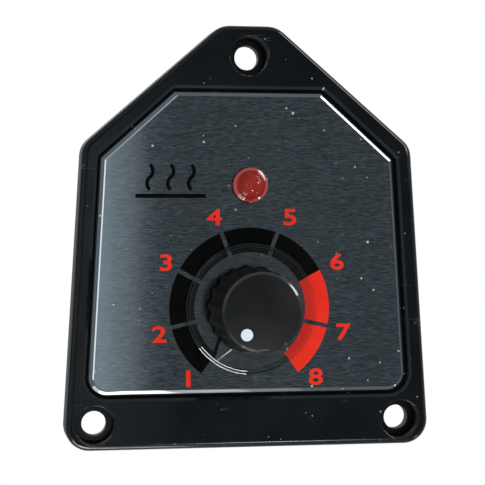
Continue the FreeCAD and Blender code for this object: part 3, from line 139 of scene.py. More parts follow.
world = bpy.data.worlds.new("paper")
world.use_nodes = True
scene.world = world
sky = world.node_tree
soft = sky.nodes["Background"]
soft.inputs["Color"].default_value = (1, 1, 1, 1)
soft.inputs["Strength"].default_value = SOFT_LIGHT
white = sky.nodes.new("ShaderNodeBackground")
white.inputs["Color"].default_value = (1, 1, 1, 1)
blend = sky.nodes.new("ShaderNodeMixShader")
sky.links.new(seen_directly(sky), blend.inputs["Fac"])
sky.links.new(soft.outputs[0], blend.inputs[1])
sky.links.new(white.outputs[0], blend.inputs[2])
sky.links.new(blend.outputs[0], sky.nodes["World Output"].inputs["Surface"])
print("world gives", SOFT_LIGHT, "of white to the object")

# %% [markdown]
# The panel hangs over a pale floor that is far enough down to stay out of the picture. The floor is paper
# too: it keeps the panel's shadow and fades to plain white away from it.

# %% Floor
FLOOR_DROP = 1400 * MM
FLOOR_SIZE = 10.0
PAPER_COLOUR = (0.8, 0.8, 0.8, 1)
PAPER_ROUGHNESS = 0.9
PAPER_WHITE = 0.7
SHADOW_NEAR = 0.4
SHADOW_FAR = 2.0

bpy.ops.object.select_all(action="DESELECT")
bpy.ops.mesh.primitive_plane_add(size=FLOOR_SIZE, location=(0, 0, CAD_BOX[0][2] - FLOOR_DROP))
floor = bpy.context.object
floor.name = "floor"
paper = bpy.data.materials.new("paper_floor")
paper.use_nodes = True
sheet = paper.node_tree
matt = sheet.nodes["Principled BSDF"]
matt.inputs["Base Color"].default_value = PAPER_COLOUR
matt.inputs["Roughness"].default_value = PAPER_ROUGHNESS
glow = sheet.nodes.new("ShaderNodeEmission")
glow.inputs["Strength"].default_value = 1.0
from_middle = sheet.nodes.new("ShaderNodeVectorMath")
from_middle.operation = "LENGTH"
sheet.links.new(sheet.nodes.new("ShaderNodeTexCoord").outputs["Object"], from_middle.inputs[0])
fade = sheet.nodes.new("ShaderNodeMapRange")
fade.inputs["From Min"].default_value = SHADOW_NEAR
fade.inputs["From Max"].default_value = SHADOW_FAR
fade.inputs["To Min"].default_value = PAPER_WHITE
sheet.links.new(from_middle.outputs["Value"], fade.inputs["Value"])
share = sheet.nodes.new("ShaderNodeMath")
share.operation = "MULTIPLY"
sheet.links.new(fade.outputs["Result"], share.inputs[1])
sheet.links.new(seen_directly(sheet), share.inputs[0])
mixed = sheet.nodes.new("ShaderNodeMixShader")
sheet.links.new(share.outputs[0], mixed.inputs["Fac"])
sheet.links.new(matt.outputs[0], mixed.inputs[1])
sheet.links.new(glow.outputs[0], mixed.inputs[2])
sheet.links.new(mixed.outputs[0], sheet.nodes["Material Output"].inputs["Surface"])
floor.data.materials.append(paper)
print("floor at", round(floor.location.z / MM, 1), "mm")

# %% [markdown]
# Black plastic and brushed metal show what stands in front of them. In the photograph that is a dim, cool
# room, so a grey dome stands behind the camera and reaches a little past the panel. It could be a darker
# world, but then the lamps would have to light everything. The dome is seen only in mirrors and through
# clear pieces, and casts no shadow.

# %% Grey dome
DOME_RADIUS = 1.3
DOME_GREY = (0.150, 0.173, 0.192, 1)
DOME_BACK = 0.35

bpy.ops.object.select_all(action="DESELECT")
bpy.ops.mesh.primitive_uv_sphere_add(radius=DOME_RADIUS, location=DIAL)
dome = bpy.context.object
dome.name = "grey_dome"
bpy.ops.object.mode_set(mode="EDIT")
bpy.ops.mesh.select_all(action="SELECT")
bpy.ops.mesh.bisect(plane_co=DIAL - AHEAD * DOME_BACK, plane_no=AHEAD, clear_inner=True)
bpy.ops.object.mode_set(mode="OBJECT")
dim = bpy.data.materials.new("dim_room")
dim.use_nodes = True
room = dim.node_tree
room_light = room.nodes.new("ShaderNodeEmission")
room_light.inputs["Color"].default_value = DOME_GREY
room.links.new(room_light.outputs[0], room.nodes["Material Output"].inputs["Surface"])
dome.data.materials.append(dim)
dome.visible_camera = False
dome.visible_diffuse = False
dome.visible_shadow = False
print("dome of", len(dome.data.polygons), "faces")

# %% [markdown]
# Soft boxes stand inside the dome. One big lamp would light the panel too, but a glossy object is drawn by
# what it mirrors, so most boxes stand where an edge mirrors them. A long one on the upper right draws the
# bright bevel of the plate's shoulder and the sparkle on the knob's rim, and one at the lower left draws the
# rim of the skirt. Three small ones give the red lamp its glints and one the pointer its bright edge. Boxes
# below whiten the plate's bevel there, two on the left draw the line along its facet, two cards in front are
# mirrored as the pale band on the plate, and one behind lights the board. Each row gives a name, the place
# from the dial and the size in metres, the power in watts, the colour and, for one, a roll in degrees.

# %% Lamps
COOL = (0.80, 0.92, 1.0)
WARM = (1.0, 0.96, 0.89)
PLAIN = (1.0, 1.0, 1.0)
LAMPS = (
    ("right_strip", (0.565, -0.215, 0.435), (0.12, 0.50), 0.60, WARM),
    ("left_strip", (-0.176, -0.119, -0.495), (0.06, 0.50), 0.6, PLAIN, 24),
    ("right_glint", (0.540, -0.420, 0.190), (0.075, 0.075), 0.50, PLAIN),
    ("low_glint", (0.114, -0.500, -0.350), (0.075, 0.075), 0.50, PLAIN),
    ("side_glint", (0.420, -0.245, -0.446), (0.07, 0.07), 0.07, PLAIN),
    ("lip_glint", (-0.088, -0.335, -0.482), (0.20, 0.06), 0.17, PLAIN),
    ("low_box", (-0.008, -0.252, -0.558), (0.110, 0.06), 0.052, PLAIN),
    ("low_fill", (0.072, -0.252, -0.558), (0.049, 0.06), 0.0037, PLAIN),
    ("low_end", (0.090, -0.252, -0.558), (0.086, 0.06), 0.0029, PLAIN),
    ("corner_low", (-0.150, -0.260, -0.560), (0.24, 0.16), 0.36, PLAIN),
    ("corner_high", (-0.340, -0.285, -0.460), (0.16, 0.28), 0.12, COOL),
    ("left_line", (-0.420, -0.810, 0.000), (0.10, 0.34), 0.14, COOL),
    ("shoulder_line", (-0.230, -0.786, 0.426), (0.14, 0.14), 0.024, COOL),
    ("front_card", (0.0285, -1.0, -0.05), (0.085, 0.60), 0.071, COOL),
    ("front_side", (0.016, -1.0, -0.05), (0.058, 0.60), 0.030, COOL),
    ("rear_box", (-0.350, 0.500, 0.400), (0.30, 0.30), 1.4, PLAIN),
)


def soft_box(name, from_dial, size, power, colour, roll=0):
    """An area lamp that faces the dial, turned on its own axis by a roll in degrees."""
    lamp = bpy.data.lights.new(name, "AREA")
    lamp.shape = "RECTANGLE"
    lamp.size, lamp.size_y = size
    lamp.energy = power
    lamp.color = colour
    box = bpy.data.objects.new(name, lamp)
    box.location = DIAL + Vector(from_dial)
    facing = (-Vector(from_dial)).to_track_quat("-Z", "Y")
    box.rotation_euler = (facing @ Quaternion((0, 0, 1), math.radians(roll))).to_euler()
    box.visible_camera = False
    scene.collection.objects.link(box)


for lamp_values in LAMPS:
    soft_box(*lamp_values)
print(len(LAMPS), "soft boxes")

# %% [markdown]
# Every finish is built from the same few steps, so they come first as helpers: a new material with its
# Principled shader, a node that is added and set in one call, a blend of two colours, a change of range, the
# place of a point, the way a face looks and a fine relief.

# %% Helpers for finishes
def new_material(name):
    """A material with its node tree and its shader."""
    material = bpy.data.materials.new(name)
    material.use_nodes = True
    return material, material.node_tree, material.node_tree.nodes["Principled BSDF"]


def add(tree, kind, **settings):
    """A new node with its settings."""
    node = tree.nodes.new(kind)
    for key, value in settings.items():
        setattr(node, key, value)
    return node


def feed(tree, socket, value):
    """Link a socket into an input, or set the input to a plain value."""
    if isinstance(value, bpy.types.NodeSocket):
        tree.links.new(value, socket)
    else:
        socket.default_value = value


def blend_colours(tree, factor, first, second):
    """Two colours blended by a mask."""
    node = add(tree, "ShaderNodeMix", data_type="RGBA")
    feed(tree, node.inputs[0], factor)
    feed(tree, node.inputs[6], first)
    feed(tree, node.inputs[7], second)
    return node.outputs[2]


def ranged(tree, value, low, high, start=0.0, end=1.0):
    """A value moved from one range to another and kept inside it."""
    node = add(tree, "ShaderNodeMapRange", clamp=True)
    feed(tree, node.inputs["Value"], value)
    feed(tree, node.inputs["From Min"], start)
    feed(tree, node.inputs["From Max"], end)
    feed(tree, node.inputs["To Min"], low)
    feed(tree, node.inputs["To Max"], high)
    return node.outputs["Result"]


def calc(tree, operation, first, second=0.0):
    """One sum on two values."""
    node = add(tree, "ShaderNodeMath", operation=operation)
    feed(tree, node.inputs[0], first)
    feed(tree, node.inputs[1], second)
    return node.outputs[0]


def place_group(tree, group, **values):
    """A shared effect, placed in a material with its own values."""
    node = add(tree, "ShaderNodeGroup", node_tree=group)
    for key, value in values.items():
        node.inputs[key].default_value = value
    return node


def from_axis(tree, middle):
    """How far a point is from a line that runs from front to back through a middle, in metres."""
    centred = add(tree, "ShaderNodeVectorMath", operation="SUBTRACT")
    feed(tree, centred.inputs[0], add(tree, "ShaderNodeTexCoord").outputs["Object"])
    centred.inputs[1].default_value = middle
    flat = add(tree, "ShaderNodeVectorMath", operation="MULTIPLY")
    feed(tree, flat.inputs[0], centred.outputs[0])
    flat.inputs[1].default_value = (1, 0, 1)
    away = add(tree, "ShaderNodeVectorMath", operation="LENGTH")
    feed(tree, away.inputs[0], flat.outputs[0])
    return away.outputs["Value"]


def along_axes(tree):
    """The Object coordinates of a point, with one output for each axis."""
    node = add(tree, "ShaderNodeSeparateXYZ")
    feed(tree, node.inputs[0], add(tree, "ShaderNodeTexCoord").outputs["Object"])
    return node


def front_share(tree, normal):
    """How squarely a face looks to the front or the back, from zero to one."""
    node = add(tree, "ShaderNodeSeparateXYZ")
    feed(tree, node.inputs[0], add(tree, "ShaderNodeNewGeometry").outputs[normal])
    return calc(tree, "ABSOLUTE", node.outputs["Y"])


def fine_relief(tree, shader, height, strength, depth):
    """A bump from a height, with its strength and its depth in metres."""
    relief = add(tree, "ShaderNodeBump")
    relief.inputs["Strength"].default_value = strength
    relief.inputs["Distance"].default_value = depth
    feed(tree, relief.inputs["Height"], height)
    feed(tree, shader.inputs["Normal"], relief.outputs["Normal"])


def grey(value):
    """A neutral colour."""
    return (value, value, value, 1)


print("finish helpers ready")

# %% [markdown]
# Moulded plastic, enamel and plated metal are never quite even. One group gives the slow clouds and the fine
# grain that all of them share, on Object coordinates so that the pattern keeps its real size.

# %% Shared effects: grain
def new_group(name, inputs, outputs):
    """An empty group with its sockets."""
    group = bpy.data.node_groups.new(name, "ShaderNodeTree")
    for socket, value in inputs.items():
        made = group.interface.new_socket(name=socket, in_out="INPUT", socket_type="NodeSocketFloat")
        made.default_value = value
    for socket in outputs:
        group.interface.new_socket(name=socket, in_out="OUTPUT", socket_type="NodeSocketFloat")
    return group, group.nodes.new("NodeGroupInput"), group.nodes.new("NodeGroupOutput")


def make_grain():
    """Slow clouds and a fine grain about twelve times smaller."""
    group, given, result = new_group("grain", {"Scale": 200.0}, ("Cloud", "Fine"))
    place = add(group, "ShaderNodeTexCoord").outputs["Object"]
    cloud = add(group, "ShaderNodeTexNoise")
    cloud.inputs["Detail"].default_value = 5.0
    feed(group, cloud.inputs["Vector"], place)
    feed(group, cloud.inputs["Scale"], given.outputs["Scale"])
    fine = add(group, "ShaderNodeTexNoise")
    fine.inputs["Detail"].default_value = 2.0
    feed(group, fine.inputs["Vector"], place)
    feed(group, fine.inputs["Scale"], calc(group, "MULTIPLY", given.outputs["Scale"], 12.0))
    feed(group, result.inputs["Cloud"], ranged(group, cloud.outputs["Fac"], 0.0, 1.0, 0.3, 0.7))
    feed(group, result.inputs["Fine"], fine.outputs["Fac"])
    return group


GRAIN = make_grain()
print("group", GRAIN.name)

# %% [markdown]
# Dust and small scratches show on the black panel and on the plate. Dust is the middle of scattered Voronoi
# cells, each with a size of its own, and a scratch is a thin slice of a noise that is drawn out one way.

# %% Shared effects: dust and scratches
def make_dust():
    """Ragged specks of many sizes, most of them tiny, that lie in patches."""
    group, given, result = new_group("dust", {"Scale": 300.0, "Amount": 0.1}, ("Mask",))
    place = add(group, "ShaderNodeTexCoord").outputs["Object"]
    ragged = add(group, "ShaderNodeTexNoise")
    ragged.inputs["Scale"].default_value = 4000.0
    feed(group, ragged.inputs["Vector"], place)
    shift = add(group, "ShaderNodeVectorMath", operation="MULTIPLY_ADD")
    feed(group, shift.inputs[0], ragged.outputs["Color"])
    shift.inputs[1].default_value = (0.3 * MM, 0.3 * MM, 0.3 * MM)
    feed(group, shift.inputs[2], place)
    cells = add(group, "ShaderNodeTexVoronoi")
    feed(group, cells.inputs["Vector"], shift.outputs[0])
    feed(group, cells.inputs["Scale"], given.outputs["Scale"])
    size = add(group, "ShaderNodeSeparateColor")
    feed(group, size.inputs["Color"], cells.outputs["Color"])
    reach = calc(group, "MULTIPLY", calc(group, "POWER", size.outputs["Red"], 6.0), given.outputs["Amount"])
    speck = calc(group, "SUBTRACT", reach, cells.outputs["Distance"])
    patch = add(group, "ShaderNodeTexNoise")
    feed(group, patch.inputs["Vector"], place)
    patch.inputs["Scale"].default_value = 70.0
    kept = ranged(group, patch.outputs["Fac"], 0.0, 1.0, 0.41, 0.49)
    shown = calc(group, "MULTIPLY", ranged(group, speck, 0.0, 1.0, 0.0, 0.05), kept)
    feed(group, result.inputs["Mask"], shown)
    return group


def make_scratches():
    """Hairlines at a slant, broken up by a second noise."""
    group, given, result = new_group("scratches", {"Scale": 30.0, "Width": 0.004}, ("Mask",))
    place = add(group, "ShaderNodeTexCoord").outputs["Object"]
    turned = add(group, "ShaderNodeMapping")
    turned.inputs["Rotation"].default_value = (0.2, 0.5, 0.3)
    turned.inputs["Scale"].default_value = (1.0, 1.0, 9.0)
    feed(group, turned.inputs["Vector"], place)
    drawn = add(group, "ShaderNodeTexNoise")
    drawn.inputs["Detail"].default_value = 1.0
    feed(group, drawn.inputs["Vector"], turned.outputs[0])
    feed(group, drawn.inputs["Scale"], given.outputs["Scale"])
    slice_off = calc(group, "ABSOLUTE", calc(group, "SUBTRACT", drawn.outputs["Fac"], 0.5))
    line = calc(group, "LESS_THAN", slice_off, given.outputs["Width"])
    patch = add(group, "ShaderNodeTexNoise")
    feed(group, patch.inputs["Vector"], place)
    feed(group, patch.inputs["Scale"], calc(group, "MULTIPLY", given.outputs["Scale"], 5.0))
    kept = ranged(group, patch.outputs["Fac"], 0.0, 1.0, 0.62, 0.70)
    feed(group, result.inputs["Mask"], calc(group, "MULTIPLY", line, kept))
    return group


DUST = make_dust()
SCRATCHES = make_scratches()
print("groups", DUST.name, SCRATCHES.name)

# %% [markdown]
# Most pieces then need only their two colours, their range of roughness and the size of their grain. One
# function makes such a finish, and the few special ones below start from it.

# %% Plain finishes
DUST_COLOUR = (0.42, 0.43, 0.42, 1)
DUST_SCALE = 700.0
DUST_COVER = 0.5
DUST_ROUGHNESS = 0.3
BUMP_DEPTH = 0.05 * MM
FLANK_TURN = (0.25, 0.55)
FLANK_ROUGHNESS = 0.65
EDGE_START = (0.74, 0.80)
EDGE_END = (0.90, 0.94)


def plain_finish(name, dark, light, rough, scale, bump=0.1, metal=0.0, gloss=0.5, dust=0.0):
    """Two colours in clouds, a range of roughness and a fine grain, with dust where it is asked for."""
    material, tree, shader = new_material(name)
    grain = place_group(tree, GRAIN, Scale=scale)
    colour = blend_colours(tree, grain.outputs["Cloud"], dark, light)
    roughness = ranged(tree, grain.outputs["Cloud"], *rough)
    if dust:
        specks = place_group(tree, DUST, Scale=DUST_SCALE, Amount=dust)
        lines = place_group(tree, SCRATCHES, Scale=45.0, Width=0.0012)
        marks = calc(tree, "MAXIMUM", specks.outputs["Mask"], lines.outputs["Mask"])
        colour = blend_colours(tree, calc(tree, "MULTIPLY", marks, DUST_COVER), colour, DUST_COLOUR)
        roughness = calc(tree, "ADD", roughness, calc(tree, "MULTIPLY", marks, DUST_ROUGHNESS))
    feed(tree, shader.inputs["Base Color"], colour)
    feed(tree, shader.inputs["Roughness"], roughness)
    fine_relief(tree, shader, grain.outputs["Fine"], bump, BUMP_DEPTH)
    shader.inputs["Metallic"].default_value = metal
    shader.inputs["Specular IOR Level"].default_value = gloss
    return material


def moulded_panel():
    """Glossy black with dull flanks, and polished where a rounded edge or a chamfer catches the light."""
    dark, light = (0.0016, 0.0024, 0.0032, 1), (0.0036, 0.0048, 0.0058, 1)
    material = plain_finish("panel_black", dark, light, (0.12, 0.24), 90, 0.05, gloss=0.32, dust=0.20)
    tree = material.node_tree
    shader = tree.nodes["Principled BSDF"]
    front = front_share(tree, "Normal")
    flank = ranged(tree, front, 1.0, 0.0, *FLANK_TURN)
    glossy = shader.inputs["Roughness"].links[0].from_socket
    feed(tree, shader.inputs["Roughness"], ranged(tree, flank, glossy, FLANK_ROUGHNESS))
    steep = ranged(tree, front, 0.0, 1.0, *EDGE_START)
    flat = ranged(tree, front, 1.0, 0.0, *EDGE_END)
    feed(tree, shader.inputs["Coat Weight"], calc(tree, "MULTIPLY", steep, flat))
    shader.inputs["Coat Roughness"].default_value = 0.05
    shader.inputs["Coat IOR"].default_value = 1.8
    return material


FINISHES = {
    "panel_plastic": moulded_panel(),
    "knob_plastic": plain_finish(
        "knob_black", grey(0.004), (0.008, 0.009, 0.009, 1), (0.28, 0.40), 160, gloss=0.35
    ),
    "adhesive_film": plain_finish("film_clear", grey(0.30), grey(0.38), (0.5, 0.6), 120),
    "tinned_wire": plain_finish("tin", grey(0.55), grey(0.72), (0.22, 0.42), 900, 0.15, metal=1.0),
    "spacer_nylon": plain_finish("nylon", (0.62, 0.60, 0.54, 1), (0.72, 0.70, 0.64, 1), (0.45, 0.6), 300),
    "bushing_metal": plain_finish(
        "nickel", (0.52, 0.50, 0.46, 1), (0.66, 0.64, 0.60, 1), (0.2, 0.36), 500, metal=1.0
    ),
    "plated_steel": plain_finish(
        "zinc", (0.50, 0.52, 0.55, 1), (0.68, 0.70, 0.72, 1), (0.2, 0.4), 420, 0.2, metal=1.0
    ),
    "wafer_laminate": plain_finish(
        "hard_paper", (0.16, 0.07, 0.03, 1), (0.22, 0.10, 0.045, 1), (0.4, 0.55), 250
    ),
    "shaft_metal": plain_finish("turned_alloy", grey(0.58), grey(0.70), (0.22, 0.36), 600, metal=1.0),
    "rotor_plastic": plain_finish("rotor_black", grey(0.015), grey(0.025), (0.4, 0.55), 300),
    "spring_bronze": plain_finish(
        "bronze", (0.50, 0.27, 0.12, 1), (0.62, 0.36, 0.17, 1), (0.22, 0.4), 500, metal=1.0
    ),
    "white_paint": plain_finish(
        "dot_white", (0.62, 0.71, 0.785, 1), (0.685, 0.765, 0.84, 1), (0.4, 0.55), 700
    ),
    "insert_brass": plain_finish(
        "brass", (0.58, 0.40, 0.14, 1), (0.72, 0.52, 0.20, 1), (0.2, 0.35), 500, metal=1.0
    ),
    "chip_plastic": plain_finish("epoxy_black", grey(0.010), grey(0.022), (0.42, 0.6), 700, 0.3),
    "relay_plastic": plain_finish(
        "relay_blue", (0.010, 0.055, 0.20, 1), (0.014, 0.07, 0.25, 1), (0.2, 0.32), 150, 0.06
    ),
    "film_resin": plain_finish(
        "film_yellow", (0.62, 0.33, 0.02, 1), (0.72, 0.40, 0.03, 1), (0.28, 0.42), 250
    ),
    "can_sleeve": plain_finish(
        "sleeve_black", (0.010, 0.012, 0.022, 1), (0.018, 0.02, 0.034, 1), (0.22, 0.36), 300
    ),
    "resistor_enamel": plain_finish(
        "enamel_tan", (0.52, 0.36, 0.20, 1), (0.62, 0.45, 0.27, 1), (0.3, 0.45), 900
    ),
    "tinned_brass": plain_finish(
        "tinned_blade", (0.55, 0.54, 0.50, 1), (0.72, 0.71, 0.68, 1), (0.2, 0.4), 420, metal=1.0
    ),
}
print(len(FINISHES), "plain finishes")

# %% [markdown]
# The dial plate is metal that was brushed from side to side, so it mirrors sharply along the strokes and
# smears up and down. The Principled shader does that with its anisotropy, and long thin noise adds the
# strokes themselves, which are worn fainter on the left. Its bevel was cut after brushing, so there the
# strokes are masked out.

# %% Brushed metal of the dial plate
STROKE_STRETCH = 0.09
STROKE_SCALE = 7800.0
STROKE_MEAN = 0.38
WORN_LEFT = -33.0
WORN_RIGHT = -16.0
WORN_SHARE = 0.25
FACE_TURN = (0.980, 0.995)
PLATE_DUST = 0.24
STROKE_DEPTH = 0.02 * MM


def brushed_plate():
    """Dark brushed face, polished bevel and a little dust."""
    material, tree, shader = new_material("brushed_plate")
    drawn = add(tree, "ShaderNodeMapping")
    drawn.inputs["Scale"].default_value = (STROKE_STRETCH, 1.0, 1.0)
    feed(tree, drawn.inputs["Vector"], add(tree, "ShaderNodeTexCoord").outputs["Object"])
    strokes = add(tree, "ShaderNodeTexNoise")
    strokes.inputs["Scale"].default_value = STROKE_SCALE
    strokes.inputs["Detail"].default_value = 2.0
    feed(tree, strokes.inputs["Vector"], drawn.outputs[0])
    deep = ranged(tree, strokes.outputs["Fac"], 0.0, 1.0, 0.38, 0.70)
    across = along_axes(tree).outputs["X"]
    worn = ranged(tree, across, WORN_SHARE, 1.0, WORN_LEFT * MM, WORN_RIGHT * MM)
    uneven = calc(tree, "MULTIPLY", calc(tree, "SUBTRACT", deep, STROKE_MEAN), worn)
    streak = calc(tree, "ADD", uneven, STROKE_MEAN)
    face = ranged(tree, front_share(tree, "True Normal"), 0.0, 1.0, *FACE_TURN)
    grain = place_group(tree, GRAIN, Scale=60.0)
    clouds = blend_colours(tree, grain.outputs["Cloud"], (0.120, 0.134, 0.139, 1), (0.147, 0.165, 0.171, 1))
    lit = blend_colours(tree, streak, clouds, (0.35, 0.385, 0.40, 1))
    specks = place_group(tree, DUST, Scale=DUST_SCALE, Amount=PLATE_DUST)
    lines = place_group(tree, SCRATCHES, Scale=60.0, Width=0.0010)
    marks = calc(tree, "MAXIMUM", specks.outputs["Mask"], lines.outputs["Mask"])
    dusty = blend_colours(tree, marks, lit, DUST_COLOUR)
    feed(tree, shader.inputs["Base Color"], blend_colours(tree, face, (0.58, 0.60, 0.61, 1), dusty))
    feed(tree, shader.inputs["Roughness"], ranged(tree, calc(tree, "MULTIPLY", face, streak), 0.06, 0.09))
    fine_relief(tree, shader, calc(tree, "MULTIPLY", streak, face), 0.10, STROKE_DEPTH)
    feed(tree, shader.inputs["Metallic"], calc(tree, "SUBTRACT", 1.0, marks))
    shader.inputs["Anisotropic"].default_value = 1.0
    shader.inputs["Anisotropic Rotation"].default_value = 0.25
    return material


FINISHES["dial_metal"] = brushed_plate()
print("finish", FINISHES["dial_metal"].name)

# %% [markdown]
# The circuit board is a glass laminate under green lacquer. Its edges are sawn and show the straw colour of
# the laminate, so the finish asks which way a face looks.

# %% Lacquered board
def lacquered_board():
    """Green faces with straw-coloured edges."""
    material, tree, shader = new_material("lacquered_board")
    face = ranged(tree, front_share(tree, "True Normal"), 0.0, 1.0, 0.4, 0.6)
    grain = place_group(tree, GRAIN, Scale=140.0)
    lacquer = blend_colours(tree, grain.outputs["Cloud"], (0.006, 0.075, 0.030, 1), (0.012, 0.115, 0.045, 1))
    feed(tree, shader.inputs["Base Color"], blend_colours(tree, face, (0.42, 0.36, 0.17, 1), lacquer))
    feed(tree, shader.inputs["Roughness"], ranged(tree, grain.outputs["Cloud"], 0.24, 0.4))
    fine_relief(tree, shader, grain.outputs["Fine"], 0.12, BUMP_DEPTH)
    return material


FINISHES["board_laminate"] = lacquered_board()
print("finish", FINISHES["board_laminate"].name)

# %% [markdown]
# The lamp is red resin with a frosted inside, deep red all through, but its colour is painted paler towards
# the edge as a painted rim light. Glass shading would show the lamp's inside, which the frost hides, so the
# resin is opaque here. It is polished by its mould, most of all on its lip, which gives the small glints.

# %% Red resin of the lamp
LAMP_LOW, LAMP_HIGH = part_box("lamp_led")
LAMP_MIDDLE = Vector((0, 0, (LAMP_LOW.z + LAMP_HIGH.z) / 2))
# Painted rim light: where the paler painted colour starts and where it is full, measured from the lamp's
# axis.
PAINTED_RIM_LIGHT_START = 3.1 * MM
PAINTED_RIM_LIGHT_END = 3.7 * MM
LIP_POLISH = (3.16 * MM, 3.20 * MM)


def red_resin():
    """Deep red, painted paler at the rim as a painted rim light, with a polished lip."""
    material, tree, shader = new_material("red_resin")
    away = from_axis(tree, LAMP_MIDDLE)
    # Painted light: this mask paints the colour paler towards the edge as a rim light.
    rim = ranged(tree, away, 0.0, 1.0, PAINTED_RIM_LIGHT_START, PAINTED_RIM_LIGHT_END)
    grain = place_group(tree, GRAIN, Scale=350.0)
    heart = blend_colours(tree, grain.outputs["Cloud"], (0.22, 0.013, 0.008, 1), (0.31, 0.022, 0.013, 1))
    feed(tree, shader.inputs["Base Color"], blend_colours(tree, rim, heart, (0.46, 0.062, 0.042, 1)))
    feed(tree, shader.inputs["Roughness"], ranged(tree, grain.outputs["Cloud"], 0.03, 0.07))
    feed(tree, shader.inputs["Coat Weight"], ranged(tree, away, 0.0, 1.0, *LIP_POLISH))
    shader.inputs["Coat IOR"].default_value = 2.5
    return material


FINISHES["lamp_red"] = red_resin()
print("finish", FINISHES["lamp_red"].name)

# %% [markdown]
# The skirt of the knob is clear plastic. Glass shading shows the scale through it, and a few dull smears keep
# it from looking like air. Its refraction is set a little low, so that it mirrors less and stays dark, and
# higher on the slopes of its rim, so that they mirror a lamp as two bright lines.

# %% Clear plastic of the skirt
SKIRT_REFRACTION = 1.36
RIM_REFRACTION = 1.9


def clear_plastic(name, refraction):
    """Clear plastic with faint smears, at a refraction."""
    material, tree, shader = new_material(name)
    grain = place_group(tree, GRAIN, Scale=120.0)
    feed(tree, shader.inputs["Roughness"], ranged(tree, grain.outputs["Cloud"], 0.01, 0.05))
    tint = blend_colours(tree, grain.outputs["Cloud"], (0.87, 0.86, 0.83, 1), (0.95, 0.94, 0.91, 1))
    feed(tree, shader.inputs["Base Color"], tint)
    shader.inputs["Transmission Weight"].default_value = 1.0
    shader.inputs["IOR"].default_value = refraction
    return material


FINISHES["clear_plastic"] = clear_plastic("clear_plastic", SKIRT_REFRACTION)
POLISHED_EDGE = clear_plastic("polished_edge", RIM_REFRACTION)
print("finishes", FINISHES["clear_plastic"].name, POLISHED_EDGE.name)

# %% [markdown]
# Each node of the frame gets the finish of its slot in the record, so that the record and the picture agree.

# %% Finish every node of the frame
for subpart in frame["record"]["subparts"]:
    node = frame["nodes"][subpart["node"]]
    node.data.materials.clear()
    node.data.materials.append(FINISHES[subpart["material_slot"]])
print(len(frame["nodes"]), "nodes finished")

# %% [markdown]
# The helpers for modelling follow. Operators act on whatever is selected, so each step starts by dropping
# the selection, and a new primitive has its place moved into its mesh at once.

# %% Helpers for modelling
MERGE = 0.001 * MM
SQUARELY = 0.99


def deselect():
    """Leave edit mode and drop every selection."""
    if bpy.context.mode != "OBJECT":
        bpy.ops.object.mode_set(mode="OBJECT")
    bpy.ops.object.select_all(action="DESELECT")


def make_active(piece):
    """Select one piece alone."""
    deselect()
    piece.select_set(True)
    bpy.context.view_layer.objects.active = piece


def named(name):
    """Name the new primitive and move its place into its mesh."""
    piece = bpy.context.object
    piece.name = name
    piece.data.name = name
    bpy.ops.object.transform_apply(location=True, rotation=True, scale=True)
    return piece


def pick(piece, kind, test):
    """Go into edit mode with only the vertices, edges or faces that pass a test selected."""
    make_active(piece)
    bpy.ops.object.mode_set(mode="EDIT")
    bpy.ops.mesh.select_mode(type=kind)
    bpy.ops.mesh.select_all(action="DESELECT")
    bpy.ops.object.mode_set(mode="OBJECT")
    items = {"VERT": piece.data.vertices, "EDGE": piece.data.edges, "FACE": piece.data.polygons}[kind]
    for item in items:
        item.select = test(item)
    bpy.ops.object.mode_set(mode="EDIT")


def smooth(piece, angle=38):
    """Round shading that keeps corners of more than an angle sharp."""
    make_active(piece)
    bpy.ops.object.shade_smooth_by_angle(angle=math.radians(angle))


def soften(piece, width, segments=3, angle=30):
    """Round the sharp edges of a piece by a bevel in millimetres, and keep its flat faces flat."""
    make_active(piece)
    edge = piece.modifiers.new("edge", "BEVEL")
    edge.width = width * MM
    edge.segments = segments
    edge.limit_method = "ANGLE"
    edge.angle_limit = math.radians(angle)
    bpy.ops.object.modifier_apply(modifier=edge.name)
    smooth(piece)
    flat = piece.modifiers.new("flat", "WEIGHTED_NORMAL")
    flat.keep_sharp = True
    bpy.ops.object.modifier_apply(modifier=flat.name)


def single_point(name, place):
    """A mesh of one vertex, in edit mode, from which an outline can be drawn."""
    deselect()
    bpy.ops.mesh.primitive_plane_add(size=MM)
    piece = named(name)
    bpy.ops.object.mode_set(mode="EDIT")
    bpy.ops.mesh.select_mode(type="VERT")
    bpy.ops.mesh.select_all(action="SELECT")
    bpy.ops.mesh.merge(type="CENTER")
    bpy.ops.transform.translate(value=place)
    return piece


def draw_line(name, places):
    """A line of vertices from place to place, left in edit mode."""
    piece = single_point(name, places[0])
    for here, there in zip(places, places[1:]):
        bpy.ops.mesh.extrude_vertices_move(TRANSFORM_OT_translate={"value": there - here})
    return piece


def tidy_mesh(piece):
    """Merge doubles, turn the faces outwards and go back to object mode."""
    bpy.ops.mesh.select_all(action="SELECT")
    bpy.ops.mesh.remove_doubles(threshold=MERGE)
    bpy.ops.mesh.normals_make_consistent(inside=False)
    bpy.ops.object.mode_set(mode="OBJECT")


def lathe(name, outline, start, along, across, steps):
    """Draw half an outline as (radius, distance) points in millimetres and spin it round its axis."""
    places = [start + (across * radius + along * distance) * MM for radius, distance in outline]
    piece = draw_line(name, places)
    bpy.ops.mesh.select_all(action="SELECT")
    bpy.ops.mesh.spin(steps=steps, angle=math.tau, center=start, axis=along)
    tidy_mesh(piece)
    return piece


def cut_with(piece, tool):
    """Cut a tool out of a piece and throw the tool away."""
    make_active(piece)
    cut = piece.modifiers.new("cut", "BOOLEAN")
    cut.operation = "DIFFERENCE"
    cut.solver = "EXACT"
    cut.object = tool
    bpy.ops.object.modifier_apply(modifier=cut.name)
    make_active(tool)
    bpy.ops.object.delete()


def join(name, pieces):
    """Several meshes as one piece."""
    make_active(pieces[0])
    for piece in pieces:
        piece.select_set(True)
    bpy.ops.object.join()
    pieces[0].name = name
    pieces[0].data.name = name
    return pieces[0]


